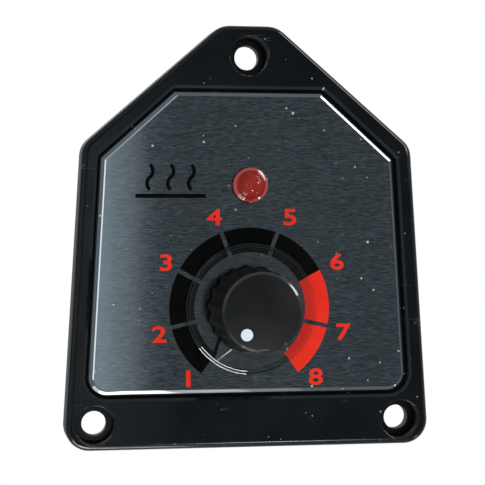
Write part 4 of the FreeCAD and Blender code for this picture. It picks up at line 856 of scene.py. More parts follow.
def settle(piece, body, slot, material, *replaced):
    """Give a finished piece its material and its body, and hide the nodes it replaces. The slot is not used.
    """
    piece.data.materials.clear()
    piece.data.materials.append(material)
    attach(piece, body)
    if replaced:
        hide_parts(*replaced)
    print(piece.name, "has", len(piece.data.polygons), "faces on", body)


print("modelling helpers ready")

# %% [markdown]
# The dial plate is stamped from sheet, brushed, and then bevelled and polished all round. Its outline is
# drawn from corner to corner and filled, its lower corners are rounded and the sheet is extruded. A bevel
# operator could cut the slope, but the front face is inset and raised instead, because that keeps the slope
# the same everywhere. A narrow facet on the left takes the burr off its inner edge, and the two holes are cut
# with cylinders.

# %% Dial plate
PLATE_CORNERS = ((-35.9, -18.8), (35.9, -18.8), (32.8, 33.3), (16.5, 48.0), (-16.5, 48.0), (-32.8, 33.3))
PLATE_ROUND = 4.25
ROUND_STEPS = 16
PLATE_BEVEL = 0.9
PLATE_SLOPE = 0.5
PLATE_FACET = 0.16
PLATE_TOP_HALF = 15.0
PLATE_SHARP = 10
LAMP_HOLE = 4.05
SHAFT_HOLE = 3.6
HOLE_STEPS = 72
PUNCH_DEPTH = 6
plate_depth = (PLATE_HIGH.y - PLATE_LOW.y) / MM
corners = [on_dial(across, up, -plate_depth) for across, up in PLATE_CORNERS]
brushed_sheet = draw_line("brushed_sheet", corners + corners[:1])
bpy.ops.mesh.select_all(action="SELECT")
bpy.ops.mesh.remove_doubles(threshold=MERGE)
bpy.ops.mesh.edge_face_add()
pick(brushed_sheet, "VERT", lambda vertex: vertex.co.z < DIAL.z)
bpy.ops.mesh.bevel(offset=PLATE_ROUND * MM, segments=ROUND_STEPS, affect="VERTICES")
bpy.ops.mesh.select_mode(type="FACE")
bpy.ops.mesh.select_all(action="SELECT")
bpy.ops.mesh.extrude_region_move(TRANSFORM_OT_translate={"value": AHEAD * (plate_depth - PLATE_SLOPE) * MM})
bpy.ops.mesh.inset(thickness=PLATE_BEVEL * MM)
bpy.ops.transform.translate(value=AHEAD * PLATE_SLOPE * MM)
tidy_mesh(brushed_sheet)
bpy.ops.mesh.uv_texture_remove()


def left_of_face(edge):
    """True for an edge of the plate's front face on its left side."""
    ends = [brushed_sheet.data.vertices[number].co for number in edge.vertices]
    return all(abs(end.y - PLATE_FACE) < MERGE and end.x < DIAL.x - PLATE_TOP_HALF * MM for end in ends)


pick(brushed_sheet, "EDGE", left_of_face)
bpy.ops.mesh.bevel(offset=PLATE_FACET * MM, segments=1, affect="EDGES")
bpy.ops.object.mode_set(mode="OBJECT")
for hole_middle, hole_radius in ((DIAL, SHAFT_HOLE), (Vector((0, PLATE_FACE, LAMP_MIDDLE.z)), LAMP_HOLE)):
    deselect()
    bpy.ops.mesh.primitive_cylinder_add(
        vertices=HOLE_STEPS,
        radius=hole_radius * MM,
        depth=PUNCH_DEPTH * MM,
        location=hole_middle,
        rotation=(math.pi / 2, 0, 0),
    )
    cut_with(brushed_sheet, named("cutter"))
smooth(brushed_sheet, PLATE_SHARP)
settle(brushed_sheet, "panel", "dial_metal", FINISHES["dial_metal"], "dial_plate")

# %% [markdown]
# The three screw holes are counterbored, and where a counterbore meets the face the mould leaves a fine round
# lip. It is too thin to be worth a solid, so it is a torus that is sunk in the face until only its crest
# shows.

# %% Lips of the screw holes
PANEL_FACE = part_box("front_panel")[0].y
SCREW_PLACES = ((-34.4, 0.0), (34.4, 0.0), (0.0, 81.4))
HEAD_RADIUS = 4.3
LIP_RADIUS = 0.14
LIP_RISE = 0.06
LIP_STEPS = 16
hole_lips = []
for across, up in SCREW_PLACES:
    deselect()
    bpy.ops.mesh.primitive_torus_add(
        major_segments=HOLE_STEPS,
        minor_segments=LIP_STEPS,
        major_radius=(HEAD_RADIUS + LIP_RADIUS) * MM,
        minor_radius=LIP_RADIUS * MM,
        location=(across * MM, PANEL_FACE + (LIP_RADIUS - LIP_RISE) * MM, up * MM),
        rotation=(math.pi / 2, 0, 0),
    )
    hole_lips.append(named("hole_lip"))
    smooth(hole_lips[-1])
settle(join("hole_lips", hole_lips), "panel", "panel_plastic", FINISHES["panel_plastic"])

# %% [markdown]
# The scale is silk-screened on the plate: seven stretches of a ring between eight marks, five black and two
# red. A texture could paint them, but ink has crisp edges and a little thickness, so each stretch is spun
# from one short line, cut back along its marks and raised by the thickness of the ink.

# %% Printed scale ring
INK = 0.03
RING_INNER = 12.5
RING_OUTER = 18.0
FIRST_MARK = 234.2
MARK_STEP = 41.2
MARK_COUNT = 8
MARK_GAP = 0.9
FIRST_RED = 6
ARC_STEPS = 28

BLACK_INK = plain_finish("ink_black", grey(0.0015), grey(0.003), (0.30, 0.42), 220, gloss=0.05)
RED_INK = plain_finish(
    "ink_red", (0.76, 0.020, 0.007, 1), (0.83, 0.028, 0.011, 1), (0.34, 0.46), 220, gloss=0.12
)


def spoke(angle):
    """The direction of an angle in degrees, counted to the left from the right-hand side."""
    return RIGHT * math.cos(math.radians(angle)) + UP * math.sin(math.radians(angle))


def flat_arc(name, middle, inner, outer, start, turn):
    """A flat arc, left in edit mode, from a start angle through a turn in degrees."""
    piece = single_point(name, middle + spoke(start) * inner * MM)
    bpy.ops.mesh.extrude_vertices_move(TRANSFORM_OT_translate={"value": spoke(start) * (outer - inner) * MM})
    bpy.ops.mesh.select_all(action="SELECT")
    bpy.ops.mesh.spin(steps=ARC_STEPS, angle=math.radians(turn), center=middle, axis=-AHEAD)
    return piece


def cut_back(angle, side):
    """Cut an arc back from a mark by half the gap, on the side that is given."""
    square = spoke(angle + 90)
    bpy.ops.mesh.select_all(action="SELECT")
    bpy.ops.mesh.bisect(
        plane_co=DIAL + square * side * MARK_GAP / 2 * MM,
        plane_no=square,
        clear_inner=side > 0,
        clear_outer=side < 0,
    )


def raise_ink(piece, ahead=INK):
    """Give a flat print its thickness."""
    bpy.ops.mesh.select_all(action="SELECT")
    bpy.ops.mesh.extrude_region_move(TRANSFORM_OT_translate={"value": AHEAD * ahead * MM})
    tidy_mesh(piece)


def mark_angle(number):
    """The angle of a numbered mark."""
    return FIRST_MARK - (number - 1) * MARK_STEP


def scale_stretch(number):
    """The stretch from one mark to the next. Black and red meet without a gap."""
    piece = flat_arc(f"stretch_{number}", DIAL, RING_INNER, RING_OUTER, mark_angle(number + 1), MARK_STEP)
    if number != FIRST_RED:
        cut_back(mark_angle(number), -1)
    if number + 1 != FIRST_RED:
        cut_back(mark_angle(number + 1), 1)
    raise_ink(piece)
    return piece


black_stretches = [scale_stretch(number) for number in range(1, FIRST_RED)]
settle(join("scale_black", black_stretches), "panel", "dial_metal", BLACK_INK)
red_stretches = [scale_stretch(number) for number in range(FIRST_RED, MARK_COUNT)]
settle(join("scale_red", red_stretches), "panel", "dial_metal", RED_INK)

# %% [markdown]
# The numbers one to eight stand outside the ring, in four level rows, mirrored left and right. They are
# plain text, thickened and widened, because the real ones are bold and broad. Each is made a mesh first and
# brought to its height after that. The one is a bare stroke, which the capital I gives.

# %% Numbers
NUMBER_ROWS = ((14.4, -15.4), (20.8, -5.5), (19.3, 10.3), (8.5, 20.3))
NUMBER_SHIFT = 0.6
NUMBER_HEIGHT = 3.7
NUMBER_BOLD = 0.02
NUMBER_WIDE = 1.35


def number_place(number):
    """The middle of a number, across and up from the middle of the dial."""
    left = number <= len(NUMBER_ROWS)
    across, up = NUMBER_ROWS[number - 1 if left else MARK_COUNT - number]
    return NUMBER_SHIFT + (-across if left else across), up


def scale_number(number):
    """One red number outside the ring."""
    deselect()
    bpy.ops.object.text_add()
    text = bpy.context.object
    text.data.body = "I" if number == 1 else str(number)
    text.data.offset = NUMBER_BOLD
    text.data.extrude = INK
    bpy.ops.object.convert(target="MESH")
    piece = bpy.context.object
    corners = [Vector(corner) for corner in piece.bound_box]
    low, high = corners[0], corners[6]
    size = NUMBER_HEIGHT * MM / (high.y - low.y)
    piece.data.transform(Matrix.Translation(-(low + high) / 2))
    piece.scale = (size * NUMBER_WIDE, size, INK * MM / (high.z - low.z))
    piece.rotation_euler = (math.pi / 2, 0, 0)
    piece.location = on_dial(*number_place(number), INK / 2)
    return named(f"number_{number}")


numbers = [scale_number(number) for number in range(1, MARK_COUNT + 1)]
settle(join("scale_numbers", numbers), "panel", "dial_metal", RED_INK)

# %% [markdown]
# The upper left of the plate carries a print. Here it is a plain sign for heat, three waves over a bar, in
# the black of the scale. Each wave is two arcs that turn opposite ways, and the bar is a flat plane.

# %% Sign for heat
SIGN_ACROSS = -17.6
SIGN_UP = 25.0
WAVE_RADIUS = 1.8
WAVE_WIDTH = 0.8
WAVE_REACH = 50
WAVE_PITCH = 4.6
BAR_WIDTH = 15.6
BAR_HEIGHT = 0.9
BAR_GAP = 0.9


def heat_wave(number):
    """Two arcs, one over the other."""
    half = WAVE_RADIUS * math.sin(math.radians(WAVE_REACH))
    shift = WAVE_RADIUS * math.cos(math.radians(WAVE_REACH))
    inner = WAVE_RADIUS - WAVE_WIDTH / 2
    outer = WAVE_RADIUS + WAVE_WIDTH / 2
    across = SIGN_ACROSS + number * WAVE_PITCH
    foot = SIGN_UP + BAR_HEIGHT / 2 + BAR_GAP
    low_middle = on_dial(across + shift, foot + half)
    lower = flat_arc("wave", low_middle, inner, outer, 180 - WAVE_REACH, 2 * WAVE_REACH)
    raise_ink(lower)
    high_middle = on_dial(across - shift, foot + 3 * half)
    upper = flat_arc("wave", high_middle, inner, outer, -WAVE_REACH, 2 * WAVE_REACH)
    raise_ink(upper)
    return [lower, upper]


deselect()
bpy.ops.mesh.primitive_plane_add(size=1, location=on_dial(SIGN_ACROSS, SIGN_UP), rotation=(math.pi / 2, 0, 0))
bpy.context.object.scale = (BAR_WIDTH * MM, BAR_HEIGHT * MM, 1)
bar = named("bar")
bpy.ops.object.mode_set(mode="EDIT")
raise_ink(bar)
sign_pieces = [bar]
for number in (-1, 0, 1):
    sign_pieces += heat_wave(number)
settle(join("heat_sign", sign_pieces), "panel", "dial_metal", BLACK_INK)

# %% [markdown]
# The lamp is a moulded resin body with a flange behind the panel and a round dome in front, which ends in a
# sloping lip. A sphere could give the dome but not the lip, so half its outline is drawn as a chain of
# points, the dome as part of a circle, and spun round. The flat that marks one side of the flange is cut off
# by a plane.

# %% Lamp
LAMP_RADIUS = 3.9
LAMP_FLANGE = 4.7
LAMP_FLAT = 4.2
LAMP_BACK = -LAMP_HIGH.y / MM
LAMP_TIP = -LAMP_LOW.y / MM
FLANGE_DEPTH = 1.2
FLANGE_FRONT = LAMP_BACK + FLANGE_DEPTH
LAMP_ROUND = 0.08
LAMP_STEPS = 96
DOME_POINTS = 32
LIP_SPREAD = 53
LIP = ((3.17, 2.275), (3.20, 2.257), (3.70, 1.957), (3.74, 1.925), (3.86, 1.765), (LAMP_RADIUS, 1.60))
lamp_foot = LAMP_TIP - LAMP_RADIUS
lamp_outline = [
    (0, LAMP_BACK),
    (LAMP_FLANGE, LAMP_BACK),
    (LAMP_FLANGE, FLANGE_FRONT),
    (LAMP_RADIUS, FLANGE_FRONT),
]
lamp_outline += [(radius, lamp_foot + rise) for radius, rise in reversed(LIP)]
for step in range(DOME_POINTS + 1):
    spread = math.radians(LIP_SPREAD) * (1 - step / DOME_POINTS)
    lamp_outline.append((LAMP_RADIUS * math.sin(spread), lamp_foot + LAMP_RADIUS * math.cos(spread)))
lamp_dome = lathe("lamp_dome", lamp_outline, LAMP_MIDDLE, AHEAD, RIGHT, LAMP_STEPS)
bpy.ops.object.mode_set(mode="EDIT")
bpy.ops.mesh.select_all(action="SELECT")
bpy.ops.mesh.bisect(plane_co=RIGHT * LAMP_FLAT * MM, plane_no=RIGHT, use_fill=True, clear_outer=True)
tidy_mesh(lamp_dome)
soften(lamp_dome, LAMP_ROUND, angle=75)
settle(lamp_dome, "panel", "lamp_red", FINISHES["lamp_red"], "lamp_led")

# %% [markdown]
# The clear skirt is a turned disc with a stepped rim, pressed on the foot of the knob. A cylinder with a
# bevel would give one soft line of light, so a closed outline is spun round the knob's axis. Two narrow
# slopes with a land between them draw the two bright lines of the rim. Their corners stay sharp in the
# shading, and the slopes get a finish of their own.

# %% Clear skirt
KNOB_AXIS = Vector((DIAL.x, 0, DIAL.z))
SKIRT_BACK = -KNOB_HIGH.y / MM
SKIRT_FRONT = -KNOB_LOW.y / MM
SKIRT_RADIUS = 14.5
SKIRT_HOLE = 8.8
SKIRT_STEPS = ((0, 0.36), (0.20, 0.195), (0.60, 0.165), (0.80, 0))
SKIRT_TURN = 144
SKIRT_SHARP = 25
SLOPE_LEAST = 0.70
SLOPE_MOST = 0.84
skirt_outline = [(SKIRT_HOLE, SKIRT_BACK), (SKIRT_RADIUS, SKIRT_BACK)]
skirt_outline += [(SKIRT_RADIUS - inward, SKIRT_FRONT - down) for inward, down in SKIRT_STEPS]
skirt_outline += [(SKIRT_HOLE, SKIRT_FRONT), (SKIRT_HOLE, SKIRT_BACK)]
skirt_disc = lathe("skirt_disc", skirt_outline, KNOB_AXIS, AHEAD, RIGHT, SKIRT_TURN)
smooth(skirt_disc, SKIRT_SHARP)
skirt_disc.visible_shadow = False
settle(skirt_disc, "knob", "clear_plastic", FINISHES["clear_plastic"], "knob_skirt")
skirt_disc.data.materials.append(POLISHED_EDGE)
pick(skirt_disc, "FACE", lambda face: SLOPE_LEAST < -face.normal.y < SLOPE_MOST)
skirt_disc.active_material_index = 1
bpy.ops.object.material_slot_assign()
bpy.ops.object.mode_set(mode="OBJECT")
print(sum(face.material_index for face in skirt_disc.data.polygons), "faces of its rim are polished")

# %% [markdown]
# The knob is a tapered body with hollow flutes that run out towards its smooth top rim. The plain body is
# spun first, with as many steps as the flutes need, and then the rows of vertices at its foot and under its
# rim are drawn in towards the axis by the depth of a round-bottomed flute at their place.

# %% Knob body
GRIP_LOW, GRIP_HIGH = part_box("knob_body")
GRIP_BASE = -GRIP_HIGH.y / MM
GRIP_TOP = -GRIP_LOW.y / MM
FOOT_RADIUS = 9.8
TOP_RADIUS = 8.6
CAVITY_RADIUS = 7.0
CAVITY_END = 11.1
BORE_RADIUS = 4.8
BORE_END = 20.3
FLUTES = 18
FLUTE_STEPS = 12
FLUTE_RADIUS = 1.6
FLUTE_DEPTH = 0.7
FLUTE_RUNOUT = 0.2
ROW_NEAR = 0.01
RIM_HEIGHT = 0.9
RIM_SWELL = 0.08
RIM_STEPS = ((0, 0.45), (0.03, 0.36), (0.07, 0.30), (0.09, 0.288), (0.55, 0.012), (0.57, 0))
SKIRT_GRIP = 0.04
SKIRT_CLEAR = 0.02
GRIP_FOOT = SKIRT_FRONT + SKIRT_CLEAR
UNDER_RIM = TOP_RADIUS + RIM_SWELL
grip_outline = [
    (0, BORE_END),
    (BORE_RADIUS, BORE_END),
    (BORE_RADIUS, CAVITY_END),
    (CAVITY_RADIUS, CAVITY_END),
    (CAVITY_RADIUS, GRIP_BASE),
    (SKIRT_HOLE + SKIRT_GRIP, GRIP_BASE),
    (SKIRT_HOLE + SKIRT_GRIP, GRIP_FOOT),
    (FOOT_RADIUS, GRIP_FOOT),
    (UNDER_RIM, GRIP_TOP - RIM_HEIGHT),
]
grip_outline += [(TOP_RADIUS - inward, GRIP_TOP - down) for inward, down in RIM_STEPS]
grip_outline.append((0, GRIP_TOP))
knob_grip = lathe("knob_grip", grip_outline, KNOB_AXIS, AHEAD, spoke(FIRST_MARK), FLUTES * FLUTE_STEPS)


def off_axis(place):
    """How far a point is from the knob's axis, in millimetres."""
    return (place - KNOB_AXIS - AHEAD * (place - KNOB_AXIS).dot(AHEAD)).length / MM


def flute_step(place):
    """How many steps a vertex is from the middle of its flute."""
    turn = math.degrees(math.atan2(place.z - KNOB_AXIS.z, place.x - KNOB_AXIS.x)) - FIRST_MARK
    step = round(turn / 360 * FLUTES * FLUTE_STEPS) % FLUTE_STEPS
    return abs(step - FLUTE_STEPS // 2)


def press_flutes(radius, level, depth):
    """Draw one row of vertices in to the bottom of its flutes."""
    for step in range(FLUTE_STEPS // 2):
        aside = radius * math.tau / (FLUTES * FLUTE_STEPS) * step
        sunk = depth - aside ** 2 / (2 * FLUTE_RADIUS)
        if sunk <= 0:
            continue
        share = 1 - sunk / radius
        pick(
            knob_grip,
            "VERT",
            lambda vertex: abs(vertex.co.y + level * MM) < MERGE
            and abs(off_axis(vertex.co) - radius) < ROW_NEAR
            and flute_step(vertex.co) == step,
        )
        bpy.ops.transform.resize(value=(share, 1, share), center_override=KNOB_AXIS)
    bpy.ops.object.mode_set(mode="OBJECT")


press_flutes(FOOT_RADIUS, GRIP_FOOT, FLUTE_DEPTH)
press_flutes(UNDER_RIM, GRIP_TOP - RIM_HEIGHT, FLUTE_RUNOUT)
print("knob body with", FLUTES, "flutes")

# %% [markdown]
# A nose at the foot of the knob points at the scale, and a hole in its side lets a key reach the grub screw.
# The nose is a block whose far end is drawn together and whose top is inset and raised, which leaves sloping
# edges that catch the light. The hole is cut with a cylinder, because a hole in a fluted face has no outline
# that could be drawn by hand.

# %% Pointer nose and key hole
NOSE_ROOT = 8.2
NOSE_TIP = 13.8
NOSE_WIDTH = 4.2
NOSE_TIP_WIDTH = 0.7
NOSE_RISE = 0.8
NOSE_EDGE = 0.30
NOSE_SLOPE = 0.17
NOSE_ROUND = 0.04
KEY_HOLE = 1.7
KEY_LEVEL = 15.7
KEY_SPARE = 2
KEY_STEPS = 40

deselect()
nose_middle = KNOB_AXIS + spoke(FIRST_MARK) * (NOSE_ROOT + NOSE_TIP) / 2 * MM
nose_body = NOSE_RISE - NOSE_SLOPE
nose_middle += AHEAD * (GRIP_FOOT + nose_body / 2) * MM
bpy.ops.mesh.primitive_cube_add(size=1, location=nose_middle, rotation=(0, -math.radians(FIRST_MARK), 0))
bpy.context.object.scale = ((NOSE_TIP - NOSE_ROOT) * MM, nose_body * MM, NOSE_WIDTH * MM)
nose = named("nose")
pick(nose, "VERT", lambda vertex: off_axis(vertex.co) > (NOSE_ROOT + NOSE_TIP) / 2)
narrow = NOSE_TIP_WIDTH / NOSE_WIDTH
tip = KNOB_AXIS + spoke(FIRST_MARK) * NOSE_TIP * MM
bpy.ops.transform.resize(value=(narrow, 1, narrow), center_override=tip)
pick(nose, "FACE", lambda face: face.normal.y < -SQUARELY)
bpy.ops.mesh.inset(thickness=NOSE_EDGE * MM)
bpy.ops.transform.translate(value=AHEAD * NOSE_SLOPE * MM)
bpy.ops.object.mode_set(mode="OBJECT")
soften(nose, NOSE_ROUND, 2, 20)

deselect()
key_way = spoke(FIRST_MARK + 180)
key_middle = KNOB_AXIS + key_way * (BORE_RADIUS + FOOT_RADIUS) / 2 * MM + AHEAD * KEY_LEVEL * MM
bpy.ops.mesh.primitive_cylinder_add(
    vertices=KEY_STEPS,
    radius=KEY_HOLE * MM,
    depth=(FOOT_RADIUS - BORE_RADIUS + KEY_SPARE) * MM,
    location=key_middle,
    rotation=key_way.to_track_quat("Z", "Y").to_euler(),
)
cut_with(knob_grip, named("cutter"))
smooth(knob_grip)
join("knob_grip", [knob_grip, nose])
print("knob with its nose and key hole,", len(knob_grip.data.polygons), "faces")

# %% [markdown]
# Fingers have polished the nose and the part of the rim that is uppermost at rest, so they are glossier than
# the rest of the knob. A second material on those faces could show it, but a mask by place fades more softly.

# %% Handled plastic of the knob
RIM_LEVEL = (0.5, 0.6)
RIM_INSIDE = (0.7, 0.4)
NOSE_FADE = 0.2
UPPER_FADE = 3


def handled_knob():
    """Dull black that is polished on the upper rim and on the nose."""
    dark, light = grey(0.0025), (0.005, 0.006, 0.006, 1)
    material = plain_finish("knob_handled", dark, light, (0.46, 0.58), 160, 0.05, gloss=0.4)
    tree = material.node_tree
    shader = tree.nodes["Principled BSDF"]
    away = from_axis(tree, KNOB_AXIS)
    place = along_axes(tree)
    near_top = ranged(tree, place.outputs["Y"], 1.0, 0.0, *(-(GRIP_TOP - down) * MM for down in RIM_LEVEL))
    at_rim = ranged(tree, away, 0.0, 1.0, *((TOP_RADIUS - inward) * MM for inward in RIM_INSIDE))
    on_nose = ranged(tree, away, 0.0, 1.0, FOOT_RADIUS * MM, (FOOT_RADIUS + NOSE_FADE) * MM)
    upper = ranged(tree, place.outputs["Z"], 0.1, 1.0, DIAL.z - UPPER_FADE * MM, DIAL.z + UPPER_FADE * MM)
    rim = calc(tree, "MULTIPLY", calc(tree, "MULTIPLY", near_top, at_rim), upper)
    polished = calc(tree, "MAXIMUM", rim, on_nose)
    dull = shader.inputs["Roughness"].links[0].from_socket
    feed(tree, shader.inputs["Roughness"], ranged(tree, polished, dull, 0.10))
    feed(tree, shader.inputs["Coat Weight"], polished)
    shader.inputs["Coat Roughness"].default_value = 0.08
    shader.inputs["Coat IOR"].default_value = 2.6
    return material


settle(knob_grip, "knob", "knob_plastic", handled_knob(), "knob_body")

# %% [markdown]
# Behind the panel sits the timer's circuit. Its resistors are small ceramic rods with an end cap pressed on
# each end, dipped in enamel, so the ends are thicker than the middle. Each is spun from that outline, and
# its value is painted on as rings, which are bands along the rod in its finish.

# %% Resistors and diodes
BAND_COLOURS = {
    "brown": (0.10, 0.030, 0.012, 1),
    "black": (0.008, 0.008, 0.008, 1),
    "red": (0.50, 0.020, 0.012, 1),
    "yellow": (0.75, 0.50, 0.030, 1),
    "violet": (0.12, 0.030, 0.25, 1),
    "orange": (0.75, 0.20, 0.020, 1),
    "gold": (0.42, 0.26, 0.06, 1),
    "silver": (0.60, 0.60, 0.60, 1),
}
RESISTOR_BANDS = (
    ("brown", "black", "red", "gold"),
    ("yellow", "violet", "red", "gold"),
    ("red", "red", "orange", "gold"),
)
BAND_PLACES = (0.85, 2.25, 3.1, 5.15)
BAND_WIDTH = 0.5
DIODE_COUNT = 3
DIODE_BAND = 4.05
DIODE_BAND_WIDTH = 0.8
ROD_STEPS = 32


def banded(name, left, dark, light, rough, bands):
    """A finish with rings of colour at distances from the left end of a rod, in millimetres."""
    material, tree, shader = new_material(name)
    grain = place_group(tree, GRAIN, Scale=900.0)
    colour = blend_colours(tree, grain.outputs["Cloud"], dark, light)
    across = along_axes(tree).outputs["X"]
    for distance, width, ring in bands:
        away = calc(tree, "ABSOLUTE", calc(tree, "SUBTRACT", across, left + distance * MM))
        mask = calc(tree, "LESS_THAN", away, width / 2 * MM)
        colour = blend_colours(tree, mask, colour, ring)
    feed(tree, shader.inputs["Base Color"], colour)
    feed(tree, shader.inputs["Roughness"], ranged(tree, grain.outputs["Cloud"], *rough))
    return material


def rods(node, count):
    """The left ends of a row of like rods, from the lowest up, with their radius and length."""
    low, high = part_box(node)
    radius = (high.y - low.y) / 2
    step = (high.z - low.z - 2 * radius) / (count - 1)
    ends = [Vector((low.x, low.y + radius, low.z + radius + step * number)) for number in range(count)]
    return ends, radius / MM, (high.x - low.x) / MM


def resistor_outline(radius, length):
    """Half a rod with a thick cap at each end."""
    half = [(0, 0), (0.4, 0), (0.95, 0.1), (1.17, 0.35), (radius, 0.75), (1.22, 1.2), (1.04, 1.75)]
    return half + [(across, length - along) for across, along in reversed(half)]


def diode_outline(radius, length):
    """Half a plain moulded rod with rounded ends."""
    half = [(0, 0), (0.9, 0), (radius - 0.12, 0.12), (radius, 0.4)]
    return half + [(across, length - along) for across, along in reversed(half)]


resistor_ends, resistor_radius, resistor_length = rods("resistors", len(RESISTOR_BANDS))
for number, (end, colours) in enumerate(zip(resistor_ends, RESISTOR_BANDS), 1):
    rings = [(place, BAND_WIDTH, BAND_COLOURS[colour]) for place, colour in zip(BAND_PLACES, colours)]
    enamel = banded(
        f"enamel_{number}", end.x, (0.50, 0.34, 0.19, 1), (0.60, 0.43, 0.25, 1), (0.25, 0.4), rings
    )
    outline = resistor_outline(resistor_radius, resistor_length)
    resistor = lathe(f"resistor_{number}", outline, end, RIGHT, UP, ROD_STEPS)
    smooth(resistor)
    settle(resistor, "panel", "resistor_enamel", enamel, "resistors")

diode_ends, diode_radius, diode_length = rods("diodes", DIODE_COUNT)
for number, end in enumerate(diode_ends, 1):
    rings = [(DIODE_BAND, DIODE_BAND_WIDTH, BAND_COLOURS["silver"])]
    epoxy = banded(f"diode_epoxy_{number}", end.x, grey(0.008), grey(0.018), (0.35, 0.5), rings)
    outline = diode_outline(diode_radius, diode_length)
    diode = lathe(f"diode_{number}", outline, end, RIGHT, UP, ROD_STEPS)
    smooth(diode)
    settle(diode, "panel", "chip_plastic", epoxy, "diodes")

# %% [markdown]
# Their wires are round and bent once, down into the board. A line of points is drawn from the rod's end
# round the bend to the far side of the board, made a curve and given the thickness of the wire.

# %% Bent wires
WIRE_RADIUS = 0.3
WIRE_BEND = 0.9
BEND_POINTS = 5


def bent_wire(name, start, foot, end):
    """A wire from a rod's end to the board: along X, round a bend and down to its foot."""
    side = math.copysign(1, foot - start.x)
    corner = Vector((foot - side * WIRE_BEND * MM, start.y - WIRE_BEND * MM, start.z))
    turns = [math.pi / 2 * step / BEND_POINTS for step in range(BEND_POINTS + 1)]
    bend = [corner + Vector((side * math.sin(turn), math.cos(turn), 0)) * WIRE_BEND * MM for turn in turns]
    points = [start] + bend + [Vector((foot, end, start.z))]
    draw_line(name, points)
    bpy.ops.object.mode_set(mode="OBJECT")
    bpy.ops.object.convert(target="CURVE")
    line = bpy.context.object
    line.data.bevel_depth = WIRE_RADIUS * MM
    line.data.bevel_resolution = 3
    line.data.use_fill_caps = True
    bpy.ops.object.convert(target="MESH")
    piece = bpy.context.object
    smooth(piece)
    return piece


def wires_of(name, node, ends, length):
    """The two wires of every rod in a row."""
    low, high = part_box(node)
    made = []
    for end in ends:
        made.append(bent_wire(name, end, low.x + WIRE_RADIUS * MM, low.y))
        made.append(bent_wire(name, end + RIGHT * length * MM, high.x - WIRE_RADIUS * MM, low.y))
    settle(join(name, made), "panel", "tinned_wire", FINISHES["tinned_wire"], node)


wires_of("resistor_wires", "resistor_leads", resistor_ends, resistor_length)
wires_of("diode_wires", "diode_leads", diode_ends, diode_length)

# %% [markdown]
# The two round capacitors are aluminium cans in a shrunk sleeve. A rolled groove near the foot holds the
# rubber plug, the sleeve folds over the top edge, and the bare lid is scored with a cross so that it can
# burst safely. The sleeve and the lid are spun, and the cross is cut with two thin blocks.

# %% Round capacitors
BOARD_LOW, BOARD_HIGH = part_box("circuit_board")
BOARD_REAR = BOARD_HIGH.y / MM
BEHIND = -AHEAD
CAN_STEPS = 64
CAN_ROUND = 0.35
GROOVE_LEVEL = 2.0
GROOVE_DEPTH = 0.45
GROOVE_HALF = 0.6
SLEEVE_FOLD = 0.9
FOLD_ROUND = 0.5
FOLD_CREST = 0.15
LID_STEPS = 48
LID_DEPTH = 0.25
LID_SEAT = 0.01
LID_CLEAR = 0.03
SCORE_WIDTH = 0.3
SCORE_DEPTH = 0.15
SCORE_MARGIN = 0.8
STRIPE_SHARE = 0.90


def axis_of(node):
    """Where the line from front to back through the middle of a node meets the XZ plane."""
    low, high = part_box(node)
    return Vector(((low.x + high.x) / 2, 0, (low.z + high.z) / 2))


def striped_sleeve(name, middle, radius):
    """A dark sleeve with one pale stripe along its right side."""
    material, tree, shader = new_material(name)
    grain = place_group(tree, GRAIN, Scale=260.0)
    sleeve = blend_colours(tree, grain.outputs["Cloud"], (0.008, 0.012, 0.030, 1), (0.014, 0.020, 0.044, 1))
    pale = blend_colours(tree, grain.outputs["Cloud"], (0.42, 0.46, 0.50, 1), (0.52, 0.55, 0.58, 1))
    aside = calc(tree, "SUBTRACT", along_axes(tree).outputs["X"], middle.x)
    stripe = calc(tree, "GREATER_THAN", aside, radius * STRIPE_SHARE * MM)
    feed(tree, shader.inputs["Base Color"], blend_colours(tree, stripe, sleeve, pale))
    feed(tree, shader.inputs["Roughness"], ranged(tree, grain.outputs["Cloud"], 0.2, 0.34))
    return material


def block(name, low, high):
    """A block between two corners."""
    deselect()
    bpy.ops.mesh.primitive_cube_add(size=1, location=(low + high) / 2)
    bpy.context.object.scale = high - low
    return named(name)


def round_capacitor(name, node):
    """A sleeve and a scored lid."""
    low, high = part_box(node)
    radius = (high.x - low.x) / 2 / MM
    top = high.y / MM
    middle = axis_of(node)
    groove = BOARD_REAR + GROOVE_LEVEL
    outline = [
        (0, BOARD_REAR),
        (radius - CAN_ROUND, BOARD_REAR),
        (radius, BOARD_REAR + CAN_ROUND),
        (radius, groove - GROOVE_HALF),
        (radius - GROOVE_DEPTH * 0.7, groove - GROOVE_HALF / 2),
        (radius - GROOVE_DEPTH, groove),
        (radius - GROOVE_DEPTH * 0.7, groove + GROOVE_HALF / 2),
        (radius, groove + GROOVE_HALF),
        (radius, top - FOLD_ROUND),
        (radius - FOLD_CREST, top - FOLD_CREST),
        (radius - FOLD_ROUND, top),
        (radius - SLEEVE_FOLD, top),
        (radius - SLEEVE_FOLD, top - LID_DEPTH),
        (0, top - LID_DEPTH),
    ]
    sleeve = lathe(name + "_sleeve", outline, middle, BEHIND, RIGHT, CAN_STEPS)
    smooth(sleeve)
    settle(sleeve, "panel", "can_sleeve", striped_sleeve(name + "_sleeve", middle, radius), node)
    rim = radius - SLEEVE_FOLD - LID_CLEAR
    seat = top - LID_DEPTH + LID_SEAT
    face = top - LID_CLEAR
    lid_outline = [(0, seat), (rim, seat), (rim, face), (0, face)]
    lid = lathe(name + "_lid", lid_outline, middle, BEHIND, RIGHT, LID_STEPS)
    reach = (rim - SCORE_MARGIN) * MM
    half = SCORE_WIDTH / 2 * MM
    deep = (face - SCORE_DEPTH) * MM
    for across, up in ((reach, half), (half, reach)):
        low_corner = middle + Vector((-across, deep, -up))
        high_corner = middle + Vector((across, (top + 1) * MM, up))
        cut_with(lid, block("score", low_corner, high_corner))
    smooth(lid)
    settle(lid, "panel", "plated_steel", FINISHES["plated_steel"])


